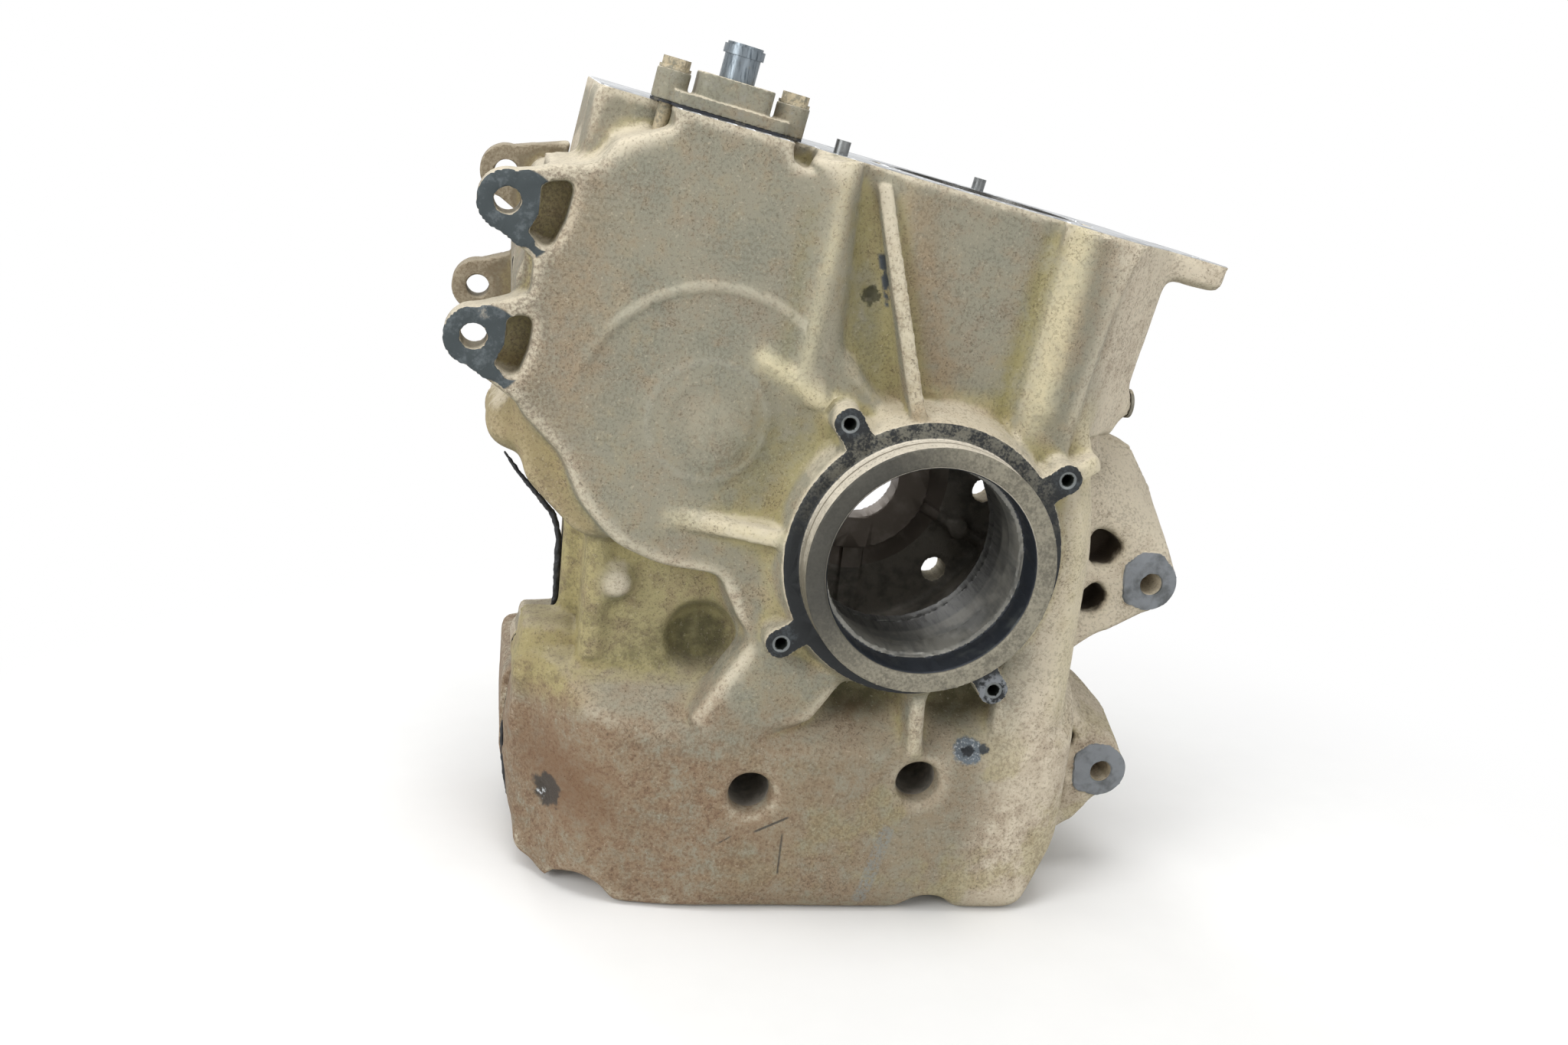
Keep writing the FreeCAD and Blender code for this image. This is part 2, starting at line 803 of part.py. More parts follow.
MOUNT_FACE = {
    "upper": [
        (110, -12, 4), (118, -5, 6), (129, -6, 6), (135.5, -19, 7), (127, -31.5, 8), (112, -31, 6),
    ],
    "lower": [
        (102, -108, 4), (110, -102, 6), (121, -103, 6), (127.5, -116, 7), (118, -127.5, 8), (104, -127, 6),
    ],
}


def front_mount(end):
    middle = (f"@mount_{end}_x", f"@mount_{end}_z")
    eye = drum(f"mount_{end}_eye", *middle, "@mount_radius - 1", "@mount_y", JOINT_FRONT)
    disc = prism(f"mount_{end}_face", MOUNT_FACE[end], "@mount_y", "@mount_y + 4")
    joint = S.split_y - S.sealant_gap / 2
    body = loft(f"mount_{end}_body", MOUNT_FRONT[end], S.mount_y + 1.5, MOUNT_BACK[end], joint)
    return [eye, disc, body]


def bolt_bosses(tag, y_from, y_to):
    return [
        drum(f"{tag}_{i}", x, z, "@ear_radius", y_from, y_to)
        for i, (x, z) in enumerate(CASE_BOLTS, start=1)
    ]


def sleeve_bosses(tag, y_from, y_to):
    return [
        drum(f"{tag}_{i}", x, z, "@sleeve_radius + 3.5", y_from, y_to)
        for i, (x, z) in enumerate(SLEEVES, start=1)
    ]


def domed(name, x, z, radius, y_start, y_to):
    """Round boss along Y whose front end is a dome of two cones."""
    return [
        taper(f"{name}_tip", x, z, 0.5 * radius, 0.86 * radius, y_start, f"{y_start} + {0.4 * radius}"),
        taper(
            f"{name}_shoulder", x, z, 0.86 * radius, radius,
            f"{y_start} + {0.4 * radius}", f"{y_start} + {0.9 * radius}",
        ),
        drum(name, x, z, radius, f"{y_start} + {0.9 * radius}", y_to),
    ]


def base_grooves(tag):
    """Rounded grooves across the flat base."""
    return [
        drum(f"{tag}_{i}", x, "@base_z - 5", radius, -20, "@rear_y + 20")
        for i, (x, radius) in enumerate(BASE_GROOVES)
    ]


def cylinder_cuts():
    """Liner seat, water jacket and head bolt holes, all along the cylinder axis."""
    seat = post("liner_seat", 0, "@cylinder_y", "@bore_radius + @liner_wall", 20, "@deck_height + 5")
    foot = "@deck_height - @jacket_depth"
    jacket_out = post("jacket_out", 0, "@cylinder_y", "@jacket_outer", foot, "@deck_height + 5")
    jacket_in = post("jacket_in", 0, "@cylinder_y", "@jacket_inner", f"{foot} - 1", "@deck_height + 6")
    jacket = cut("water_jacket", jacket_out, [jacket_in])
    holes = [
        post(
            f"head_bolt_hole_{i}_{k}",
            f"{i} * @head_bolt_u",
            f"@cylinder_y + {k} * @head_bolt_v",
            "@head_bolt_radius",
            "@deck_height - @head_bolt_depth",
            "@deck_height + 5",
        )
        for i in (-1, 1)
        for k in (-1, 1)
    ]
    return [seat, jacket] + holes


def ring_bosses():
    """Raised turning rings on the gear face, round the gear shaft."""
    low = taper("gear_ring_outer", *GEAR_SHAFT, 49, 51, "@plate_y - 1.4", "@plate_y + 1")
    dish = drum("gear_ring_dish", *GEAR_SHAFT, 45.5, "@plate_y - 2", "@plate_y")
    outer = cut("gear_ring", low, [dish])
    core = taper("gear_ring_core", *GEAR_SHAFT, 22.5, 24, "@plate_y - 1.1", "@plate_y + 1")
    return [outer, core]


def make_front_case():
    shell = fuse("front_shell", front_shell() + [front_sump()])
    hollows = [
        prism("gear_front_hollow", GEAR_FRONT_HOLLOW, "@plate_y + @shell + 1.5", "@split_y"),
        prism("gear_hollow", GEAR_HOLLOW, "@plate_y + 12 + @shell", "@split_y + 1"),
        prism("wall_hollow", WALL_HOLLOW, "@flank_y + @shell", "@split_y + 1"),
        prism("sump_hollow", SUMP_HOLLOW, "@split_y - 16", "@split_y + 1"),
        prism("sump_front_hollow", SUMP_FRONT_HOLLOW, "@sump_y + @shell + 2", "@split_y + 1"),
        drum("crank_hollow", 0, 0, "@chamber_radius", f"{SEAT_END} + @web_depth", "@split_y + 1"),
    ]
    opened = cut("front_opened", shell, hollows)
    extras = bolt_bosses("front_ear", "@split_y - 30", JOINT_FRONT)
    extras += sleeve_bosses("front_sleeve_boss", "@split_y - @sleeve_reach - 5", JOINT_FRONT)
    extras += [
        drum(
            f"core_wall_{i}", x, z, "@core_hole_radius + @shell - 1",
            "@sump_y + 3", "@sump_y + @core_hole_depth + @shell",
        )
        for i, (x, z) in enumerate(CORE_HOLES)
    ]
    extras += cover_bosses() + front_ribs() + ring_bosses()
    for end in ("upper", "lower"):
        extras += left_lug(end, "front_lug", "@plate_y", "@plate_y + @lug_depth")
        extras += front_mount(end)
    extras += domed("bulge", *CASE_BOLTS[0], BULGE, "@flank_y - 6", JOINT_FRONT)
    extras += domed("stud_boss", *CASE_BOLTS[7], STUD_BOSS, "@flank_y - 10", JOINT_FRONT)
    ridge = doc.addObject("Part::Cylinder", "flank_ridge")
    bind(ridge, "Radius", 6.2)
    bind(ridge, "Height", 70)
    place(ridge, -132.5, "@flank_y + 1", -64)
    extras.append(ridge)
    side_boss = doc.addObject("Part::Cylinder", "side_boss")
    bind(side_boss, "Radius", "@side_boss_radius")
    bind(side_boss, "Height", 30)
    place(side_boss, f"{BOSS_FACE} - 30", "@split_y - 20", "@side_boss_z", ALONG_X)
    solid = fuse("front_solid", [opened] + extras + [side_boss])

    tools = [
        drum("spigot_bore", 0, 0, "@mouth_radius", -1, "@mouth_depth"),
        drum("throat_bore", 0, 0, "@throat_radius", "@mouth_depth - 1", f"{SEAT_START} + 1"),
        drum("seat_bore", 0, 0, "@seat_radius", SEAT_START, "@split_y"),
        drum("snap_groove", 0, 0, "@seat_radius + @snap_depth", SEAT_END, f"{SEAT_END} + @snap_width"),
        taper("mouth_chamfer", 0, 0, "@mouth_radius + 2", "@mouth_radius - 0.5", -0.5, 2),
    ]
    for i in range(4):
        x = f"@tap_circle / 2 * cos(@tap_angle + {90 * i})"
        z = f"@tap_circle / 2 * sin(@tap_angle + {90 * i})"
        end = "@spigot_length + @tap_depth"
        tools.append(drum(f"tap_{i}", x, z, "@tap_radius", "@spigot_length - 1", end))
    for end in ("upper", "lower"):
        lug = (f"@lug_{end}_x", f"@lug_{end}_z")
        back = "@plate_y + @lug_depth"
        tools.append(drum(f"front_lug_{end}_hole", *lug, "@lug_hole", "@plate_y - 5", f"{back} + 3"))
        tools.append(prism(f"front_lug_{end}_pocket", LUG_POCKETS[end], "@plate_y - 1", f"{back} - 4"))
        mount = (f"@mount_{end}_x", f"@mount_{end}_z")
        tools.append(drum(f"front_mount_{end}_hole", *mount, "@lug_hole", "@mount_y - 5", "@split_y + 5"))
        for k, pocket in enumerate(MOUNT_POCKETS[end]):
            tools.append(prism(f"front_mount_{end}_pocket_{k}", pocket, "@mount_y - 1", "@split_y - 8"))
    for i, (x, z) in enumerate(CASE_BOLTS, start=1):
        end_of_hole = "@split_y - @bolt_bite - 2"
        tools.append(drum(f"front_bolt_hole_{i}", x, z, "@bolt_radius", end_of_hole, "@split_y + 1"))
    tools += [
        taper("flank_recess", -85, -52, 17.5, 13.5, "@flank_y - 3", "@flank_y + 9"),
        drum("dimple", -34, 107, 3.2, "@wall_y - 1", "@wall_y + 3"),
        leaning(
            "deck_face",
            [(-200, 0, 0), (140, 0, 0), (140, 170, 0), (-200, 170, 0)],
            "@deck_height",
            f"@deck_height + {CLEAR_ABOVE}",
        ),
    ]
    tools += base_grooves("front_groove")
    gallery = doc.addObject("Part::Cylinder", "gallery_hole")
    bind(gallery, "Radius", "@gallery_radius")
    gallery.Height = 16
    place(gallery, f"{BOSS_FACE} - 15", "@split_y - 20", "@side_boss_z", ALONG_X)
    tools.append(gallery)
    tools += [
        drum(f"core_hole_{i}", x, z, "@core_hole_radius", "@sump_y - 5", "@sump_y + @core_hole_depth")
        for i, (x, z) in enumerate(CORE_HOLES)
    ]
    tools += cylinder_cuts()
    tools.append(oil_slot("front_oil_slot", f"{SEAT_END} + @web_depth + 6", "@split_y + 1"))
    tools.append(
        leaning(
            "box_pocket",
            [
                (BLOCK_LEFT + 7, S.flank_y + 20, 4),
                (-S.block_half - 4, S.flank_y + 20, 4),
                (-S.block_half - 4, S.block_back + 5, 0),
                (BLOCK_LEFT + 7, S.block_back + 5, 0),
            ],
            BLOCK_STEP + 6,
            "@deck_height - 8",
        )
    )
    for i, (u, v) in enumerate(DECK_DOWELS):
        foot = "@deck_height - @dowel_sink"
        tools.append(post(f"dowel_hole_{i}", u, v, "@dowel_root", foot, "@deck_height + 2"))
    for side in (-1, 1):
        tools.append(
            post(
                f"outlet_tap_{side}", f"@outlet_u + {side} * @outlet_bolt_span", "@outlet_y",
                "@outlet_bolt_radius", "@deck_height - 14", "@deck_height + 2",
            )
        )
        tools.append(
            post(
                f"wing_hole_{side}", "@wing_hole_u", f"@cylinder_y + {side} * @wing_hole_v",
                "@wing_hole_radius", "@deck_height - 20", "@deck_height + 2",
            )
        )
    port_foot = f"@deck_height - {PORT_DEPTH}"
    tools.append(post("outlet_port", "@outlet_u", "@outlet_y", OUTLET_PORT, port_foot, "@deck_height + 2"))
    for i, (x, z) in enumerate(SLEEVES):
        tools.append(
            drum(
                f"front_sleeve_hole_{i}", x, z, "@sleeve_radius",
                "@split_y - @sleeve_reach", "@split_y + 1",
            )
        )
    return cut("front_case", solid, tools)


def make_rear_case():
    flange = prism("rear_flange", JOINT, JOINT_REAR, "@split_y + @flange_depth")
    body = prism("rear_body", REAR_OUTLINE, JOINT_REAR, "@rear_y")
    rim_out = drum("rim_out", 0, 0, "@rim_radius", "@rear_wall_y", "@rear_y + @rim_length")
    hollows = [
        prism("rear_gear_hollow", GEAR_HOLLOW, "@split_y - 1", "@rear_wall_y"),
        prism("rear_wall_hollow", WALL_HOLLOW, "@split_y - 1", "@rear_wall_y"),
        prism("rear_sump_hollow", SUMP_HOLLOW, "@split_y - 1", "@rear_wall_y"),
        drum("rear_crank_hollow", 0, 0, "@chamber_radius", "@split_y - 1", "@rear_wall_y"),
        prism("rear_gear_relief", GEAR_HOLLOW, "@rear_wall_y + @rear_wall", "@rear_y + 1"),
        prism("rear_sump_relief", SUMP_HOLLOW, "@rear_wall_y + @rear_wall", "@rear_y + 1"),
    ]
    opened = cut("rear_opened", fuse("rear_shell", [flange, body, rim_out]), hollows)
    cover_room = [
        drum("cover_register", 0, 0, "@rim_radius - @rim_wall", "@register_y", "@rear_y + @rim_length + 1"),
        drum(
            "cover_floor", 0, 0, "@rim_radius - @rim_wall - @register_step",
            "@rear_wall_y + @rear_wall", "@register_y + 1",
        ),
    ]
    roomy = cut("rear_roomy", opened, cover_room)
    towers = fuse(
        "rear_towers",
        [
            drum(f"rear_tower_{i}", x, z, f"{HEAD_ROOM} + 3", JOINT_REAR, "@rear_wall_y + @rear_wall")
            for i, (x, z) in enumerate(CASE_BOLTS, start=1)
        ],
    )
    tower_bounds = prism("tower_bounds", REAR_OUTLINE, JOINT_REAR, "@rear_wall_y + @rear_wall")
    extras = [common("rear_tower_walls", [towers, tower_bounds])]
    extras += bolt_bosses("rear_ear", JOINT_REAR, "@split_y + @bolt_grip")
    extras += sleeve_bosses("rear_sleeve_boss", JOINT_REAR, "@split_y + @sleeve_reach + 5")
    extras.append(drum("main_boss", 0, 0, "@main_boss", "@main_boss_y", "@register_y"))
    for end in ("upper", "lower"):
        extras += left_lug(end, "rear_lug", "@lug_rear_y", "@rear_y")
        extras.append(prism(f"rear_mount_{end}_body", MOUNT_BACK[end], JOINT_REAR, "@split_y + 16"))
        extras.append(
            drum(
                f"rear_mount_{end}_disc", f"@mount_{end}_x", f"@mount_{end}_z", "@mount_radius",
                JOINT_REAR, "@mount_back_y",
            )
        )
        extras.append(prism(f"rear_mount_{end}_web", MOUNT_FRONT[end], JOINT_REAR, "@mount_back_y - 3"))
    extras += [
        rib(
            "inner_rib", (30, -11), S.rear_wall_y - 4, (80, -36), S.rear_wall_y - 4,
            S.rear_wall_y + 2, 5.0,
        ),
        drum("inner_rib_boss", 55.5, -24, 5.5, "@rear_wall_y - 6", "@rear_wall_y + 2"),
    ]
    for i in range(6):
        angle = math.radians(20 + 60 * i)
        inner = (30 * math.cos(angle), 30 * math.sin(angle))
        reach = S.rim_radius - 3
        outer = (reach * math.cos(angle), reach * math.sin(angle))
        level = S.rear_wall_y + S.rear_wall
        extras.append(rib(f"outer_rib_{i}", inner, level + 3, outer, level + 3, level - 2, 5.0))
        x = (S.rim_radius + 1) * math.cos(angle)
        z = (S.rim_radius + 1) * math.sin(angle)
        extras.append(drum(f"rim_boss_{i}", x, z, 6.5, "@rear_wall_y + 4", "@rear_y + @rim_length"))
    extras += [
        prism(
            "inner_step",
            [(-2.5, -33, 0), (8, -33, 0), (8, -72, 0), (-2.5, -72, 0)],
            "@rear_wall_y - 3",
            "@rear_wall_y + 1",
        ),
        prism(
            "left_ledge",
            [(-162, -60, 3), (-140, -58, 0), (-140, -80, 0), (-164, -84, 0)],
            JOINT_REAR,
            "@split_y + @bolt_grip",
        ),
        drum("drain_boss", 30, -140, 14, "@rear_wall_y", "@rear_y + 2"),
    ]
    solid = fuse("rear_solid", [roomy] + extras)
    tools = [
        drum("main_bore", 0, 0, "@main_bore", "@main_boss_y - 1", "@rear_y + 1"),
        drum("seal_seat", 0, 0, "@seal_radius", "@register_y - @seal_depth", "@rear_y + 1"),
        drum("see_through_low", 47, -47.5, 6.2, "@rear_wall_y - 5", "@rear_y + 1"),
        drum("see_through_high", 67.5, -4.5, 6, "@rear_wall_y - 5", "@rear_y + 1"),
        drum("drain_hole", 30, -140, "@drain_radius", "@rear_wall_y - 1", "@rear_y + 3"),
        block_room(),
        box_room(),
        oil_slot("rear_oil_slot", "@split_y - 1", "@main_boss_y"),
    ]
    for end in ("upper", "lower"):
        lug = (f"@lug_{end}_x", f"@lug_{end}_z")
        tools.append(drum(f"rear_lug_{end}_hole", *lug, "@lug_hole", "@lug_rear_y - 2", "@rear_y + 2"))
        mount = (f"@mount_{end}_x", f"@mount_{end}_z")
        tools.append(
            drum(f"rear_mount_{end}_hole", *mount, "@lug_hole", "@split_y - 2", "@mount_back_y + 2")
        )
    for i, (x, z) in enumerate(CASE_BOLTS, start=1):
        tools.append(
            drum(
                f"rear_bolt_hole_{i}", x, z, "@bolt_radius + @bolt_clearance",
                "@split_y - 1", "@split_y + @bolt_grip + 1",
            )
        )
        tools.append(
            drum(
                f"bolt_head_room_{i}", x, z, HEAD_ROOM,
                "@split_y + @bolt_grip", "@rear_y + 20",
            )
        )
    for i, (x, z) in enumerate(SLEEVES):
        tools.append(
            drum(
                f"rear_sleeve_hole_{i}", x, z, "@sleeve_radius",
                "@split_y - 1", "@split_y + @sleeve_reach",
            )
        )
    for i in range(6):
        angle = 20 + 60 * i
        tools.append(
            drum(
                f"rim_tap_{i}", f"(@rim_radius + 1) * cos({angle})", f"(@rim_radius + 1) * sin({angle})",
                "@tap_radius", "@rear_y", "@rear_y + @rim_length + 1",
            )
        )
    tools += base_grooves("rear_groove")
    return cut("rear_case", solid, tools)


def oil_slot(name, y_from, y_to):
    """Way for the oil from the crank chamber down into the sump."""
    points = [(-24, -100, 5), (24, -100, 5), (24, -68, 5), (-24, -68, 5)]
    return prism(name, points, y_from, y_to)


def block_room():
    """Room for the block that overhangs the rear half."""
    return leaning(
        "block_room",
        [
            (-S.block_half, 60, 0),
            (S.block_half + 30, 60, 0),
            (S.block_half + 30, 200, 0),
            (-S.block_half, 200, 0),
        ],
        "@block_foot",
        "@block_foot + 100",
    )


def box_room():
    """Room for the box beside the block."""
    return leaning(
        "box_room",
        [
            (BLOCK_LEFT, 40, 0),
            (-S.block_half + 10, 40, 0),
            (-S.block_half + 10, 200, 0),
            (BLOCK_LEFT, 200, 0),
        ],
        BLOCK_STEP,
        "@deck_height + 20",
    )


def make_sealant():
    """Film of sealant between the halves."""
    film = prism("sealant_film", JOINT, JOINT_FRONT, JOINT_REAR)
    hollows = [
        prism("film_gear_hollow", GEAR_HOLLOW, "@split_y - 1", "@split_y + 1"),
        prism("film_wall_hollow", WALL_HOLLOW, "@split_y - 1", "@split_y + 1"),
        prism("film_sump_hollow", SUMP_HOLLOW, "@split_y - 1", "@split_y + 1"),
        drum("film_crank_hollow", 0, 0, "@chamber_radius", "@split_y - 1", "@split_y + 1"),
    ]
    pads = [
        drum(f"film_ear_{i}", x, z, "@ear_radius", JOINT_FRONT, JOINT_REAR)
        for i, (x, z) in enumerate(CASE_BOLTS, start=1)
    ]
    pads += sleeve_bosses("film_sleeve_boss", JOINT_FRONT, JOINT_REAR)
    sheet_solid = fuse("sealant_solid", [cut("sealant_ring", film, hollows)] + pads)
    hollows = [oil_slot("film_oil_slot", "@split_y - 1", "@split_y + 1")]
    for i, (x, z) in enumerate(CASE_BOLTS, start=1):
        room = "@bolt_radius + @bolt_clearance"
        hollows.append(drum(f"film_bolt_{i}", x, z, room, "@split_y - 1", "@split_y + 1"))
    for i, (x, z) in enumerate(SLEEVES):
        hollows.append(drum(f"film_sleeve_{i}", x, z, "@sleeve_radius", "@split_y - 1", "@split_y + 1"))
    hollows += base_grooves("film_groove")
    return cut("case_sealant", sheet_solid, hollows)


def make_liner():
    foot = "@deck_height - @liner_length"
    outer = post("liner_out", 0, "@cylinder_y", "@bore_radius + @liner_wall", foot, "@deck_height")
    inner = post("liner_in", 0, "@cylinder_y", "@bore_radius", f"{foot} - 1", "@deck_height + 1")
    return cut("cylinder_liner", outer, [inner])


def make_outlet():
    """Coolant outlet on the deck: gasket, flanged housing, pressed nipple and two bolts."""
    seat = "@deck_height + @gasket_thickness"
    half = S.outlet_half_length
    wide = S.outlet_half_width
    plan = [
        (S.outlet_u - half, S.outlet_y - wide, 5),
        (S.outlet_u + half, S.outlet_y - wide, 5),
        (S.outlet_u + half, S.outlet_y + wide, 5),
        (S.outlet_u - half, S.outlet_y + wide, 5),
    ]
    dome_plan = [
        (S.outlet_u - S.dome_half_length, S.outlet_y - S.dome_half_width, 5),
        (S.outlet_u + S.dome_half_length, S.outlet_y - S.dome_half_width, 5),
        (S.outlet_u + S.dome_half_length, S.outlet_y + S.dome_half_width, 5),
        (S.outlet_u - S.dome_half_length, S.outlet_y + S.dome_half_width, 5),
    ]
    flange = leaning("outlet_flange_plate", plan, seat, f"{seat} + @outlet_flange")
    dome = leaning("outlet_dome", dome_plan, seat, f"{seat} + @outlet_flange + @dome_height")
    top = f"{seat} + @outlet_flange + @dome_height"
    towers = [
        post(
            f"outlet_tower_{side}", f"@outlet_u + {side} * @outlet_bolt_span", "@outlet_y",
            "@tower_radius", seat, f"{seat} + @tower_height",
        )
        for side in (-1, 1)
    ]
    holes = [
        post(
            f"outlet_hole_{side}", f"@outlet_u + {side} * @outlet_bolt_span", "@outlet_y",
            "@outlet_bolt_radius + 0.3", "@deck_height - 1", f"{seat} + @tower_height + 1",
        )
        for side in (-1, 1)
    ]
    middle = ("@outlet_u", "@outlet_y")
    bowl = post("outlet_bowl", *middle, OUTLET_PORT, "@deck_height", f"{top} - @nipple_seat")
    socket = post("outlet_socket", *middle, "@nipple_radius", f"{top} - @nipple_seat - 1", f"{top} + 1")
    housing = cut("outlet_housing", fuse("outlet_solid", [flange, dome] + towers), holes + [bowl, socket])

    film_ears = [
        post(
            f"gasket_ear_{side}", f"@outlet_u + {side} * @outlet_bolt_span", "@outlet_y",
            "@tower_radius", "@deck_height", seat,
        )
        for side in (-1, 1)
    ]
    film_plate = leaning("outlet_gasket_plate", plan, "@deck_height", seat)
    film = fuse("outlet_gasket_film", [film_plate] + film_ears)
    film_holes = [
        post(
            f"gasket_hole_{side}", f"@outlet_u + {side} * @outlet_bolt_span", "@outlet_y",
            "@outlet_bolt_radius + 0.3", "@deck_height - 1", f"{seat} + 1",
        )
        for side in (-1, 1)
    ]
    film_holes.append(post("gasket_port", *middle, OUTLET_PORT, "@deck_height - 1", f"{seat} + 1"))
    gasket = cut("outlet_gasket", film, film_holes)

    mouth = f"{top} + @nipple_length"
    tube = post("nipple_tube", *middle, "@nipple_radius", f"{top} - @nipple_seat", mouth)
    bead = post("nipple_lip", *middle, "@nipple_radius + @nipple_bead", f"{mouth} - 4.5", f"{mouth} - 1")
    bore = post("nipple_hole", *middle, "@nipple_bore", f"{top} - @nipple_seat - 1", f"{mouth} + 1")
    nipple = cut("outlet_nipple", fuse("nipple_solid", [tube, bead]), [bore])

    bolts = []
    for side, tag in ((-1, "left"), (1, "right")):
        u = f"@outlet_u + {side} * @outlet_bolt_span"
        under = f"{seat} + @tower_height"
        shank = post(f"outlet_shank_{tag}", u, "@outlet_y", "@outlet_bolt_radius", "@deck_height - 12", under)
        collar = post(f"outlet_collar_{tag}", u, "@outlet_y", 6.4, under, f"{under} + 1.2")
        head = hexagon(f"outlet_head_{tag}", 5.6, 4.4)
        place(
            head,
            f"({u}) * cos(@lean) + ({under}) * sin(@lean)",
            "@outlet_y",
            f"({under}) * cos(@lean) - ({u}) * sin(@lean)",
            LEAN,
        )
        bolts.append(fuse(f"outlet_bolt_{tag}", [shank, collar, head]))
    return [housing, gasket, nipple] + bolts


def hexagon(name, radius, height):
    body = doc.addObject("Part::Prism", name)
    body.Polygon = 6
    bind(body, "Circumradius", radius)
    bind(body, "Height", height)
    return body


def make_deck_dowels():
    dowels = []
    for i, (u, v) in enumerate(DECK_DOWELS):
        name = ("deck_dowel_left", "deck_dowel_right")[i]
        root = post(f"{name}_root", u, v, "@dowel_root", "@deck_height - @dowel_sink", "@deck_height")
        pin = post(f"{name}_pin", u, v, "@dowel_radius", "@deck_height - 1", "@deck_height + @dowel_stand")
        dowels.append(fuse(name, [root, pin]))
    return dowels


def make_sleeves():
    """Hollow dowels that line up the halves."""
    sleeves = []
    for i, (x, z) in enumerate(SLEEVES):
        name = ("joint_sleeve_low", "joint_sleeve_high")[i]
        start, end = "@split_y - @sleeve_reach", "@split_y + @sleeve_reach"
        outer = drum(f"{name}_out", x, z, "@sleeve_radius", start, end)
        inner = drum(f"{name}_in", x, z, "@sleeve_bore", f"{start} - 1", f"{end} + 1")
        sleeves.append(cut(name, outer, [inner]))
    return sleeves


def make_case_bolts():
    bolts = []
    for i, (x, z) in enumerate(CASE_BOLTS, start=1):
        under = "@split_y + @bolt_grip"
        shank = drum(f"bolt_shank_{i}", x, z, "@bolt_radius", "@split_y - @bolt_bite", under)
        collar = drum(f"bolt_collar_{i}", x, z, "@bolt_collar", under, f"{under} + @bolt_collar_height")
        head = hexagon(f"bolt_head_{i}", "@bolt_head", "@bolt_collar_height + @bolt_head_height")
        place(head, x, under, z, ALONG_Y)
        bolts.append(fuse(f"case_bolt_{i}", [shank, collar, head]))
    return bolts


def make_drain():
    face = "@rear_y + 2"
    under = f"{face} + @drain_washer"
    washer_out = drum("drain_washer_out", 30, -140, "@drain_radius + 4", face, under)
    washer_in = drum("drain_washer_in", 30, -140, "@drain_radius", f"{face} - 1", f"{under} + 1")
    washer = cut("drain_washer_ring", washer_out, [washer_in])
    shank = drum("drain_shank", 30, -140, "@drain_radius", f"{face} - @drain_length", under)
    head = hexagon("drain_head", "@drain_radius + 3", 8)
    place(head, 30, under, -140, ALONG_Y)
    return [washer, fuse("drain_plug", [shank, head])]


def make_gallery_plug():
    shank = doc.addObject("Part::Cylinder", "gallery_shank")
    bind(shank, "Radius", "@gallery_radius")
    shank.Height = 10
    place(shank, f"{BOSS_FACE} - 10", "@split_y - 20", "@side_boss_z", ALONG_X)
    head = doc.addObject("Part::Cylinder", "gallery_head")
    bind(head, "Radius", "@gallery_radius + 2")
    head.Height = 1.5
    place(head, BOSS_FACE, "@split_y - 20", "@side_boss_z", ALONG_X)
    socket = doc.addObject("Part::Prism", "gallery_socket")
    socket.Polygon = 6
    socket.Circumradius = 2.9
    socket.Height = 5
    place(socket, f"{BOSS_FACE} - 1", "@split_y - 20", "@side_boss_z", ALONG_X)
    return cut("gallery_plug", fuse("gallery_solid", [shank, head]), [socket])


PARTS = [make_front_case(), make_rear_case(), make_sealant(), make_liner()]
PARTS += make_outlet()
PARTS += make_deck_dowels()
PARTS += make_sleeves()
PARTS += make_case_bolts()
PARTS += make_drain()
PARTS.append(make_gallery_plug())

doc.recompute()
faults = [thing.Name for thing in doc.Objects if {"Invalid", "Error"} & set(thing.State)]
if faults:
    raise SystemExit("failed: " + ", ".join(faults))

NAMES = {"drain_washer_ring": "drain_washer"}
os.makedirs("parts", exist_ok=True)
for part in PARTS:
    part.Label = NAMES.get(part.Name, part.Name)
    shape = part.Shape
    if shape.isNull() or not shape.isValid():
        raise SystemExit("bad shape: " + part.Label)
    print(part.Label, len(shape.Solids), round(shape.Volume), [round(v, 1) for v in (
        shape.BoundBox.XMin, shape.BoundBox.XMax, shape.BoundBox.YMin, shape.BoundBox.YMax,
        shape.BoundBox.ZMin, shape.BoundBox.ZMax)])
for part in PARTS:
    part.Shape.exportStep(f"parts/{part.Label}.step")
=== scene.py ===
"""Look of a used engine crankcase: two dusty cast halves, a coolant outlet and their small parts.

Places below are in millimetres in the frame of the part; a mesh is brought back to metres at its end.
"""

import math
from functools import reduce

import bmesh
import bpy
import numpy as np
from mathutils import Matrix, Vector, noise
from mathutils.bvhtree import BVHTree


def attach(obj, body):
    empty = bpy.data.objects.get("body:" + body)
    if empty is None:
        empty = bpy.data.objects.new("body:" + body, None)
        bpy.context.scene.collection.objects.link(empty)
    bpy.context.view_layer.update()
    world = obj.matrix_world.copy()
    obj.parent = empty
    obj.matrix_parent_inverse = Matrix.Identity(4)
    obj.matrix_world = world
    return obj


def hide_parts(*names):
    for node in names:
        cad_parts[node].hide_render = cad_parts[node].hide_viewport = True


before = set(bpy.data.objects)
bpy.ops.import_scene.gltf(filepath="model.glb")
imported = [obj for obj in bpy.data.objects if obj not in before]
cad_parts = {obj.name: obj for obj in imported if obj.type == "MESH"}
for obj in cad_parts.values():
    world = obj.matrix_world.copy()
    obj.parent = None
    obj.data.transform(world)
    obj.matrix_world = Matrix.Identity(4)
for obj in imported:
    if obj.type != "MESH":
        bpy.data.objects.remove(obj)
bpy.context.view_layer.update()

MM = 0.001
LEAN = math.radians(10)
CYLINDER_Y = 92.0
DECK = 148.6
FOOT = -172.0

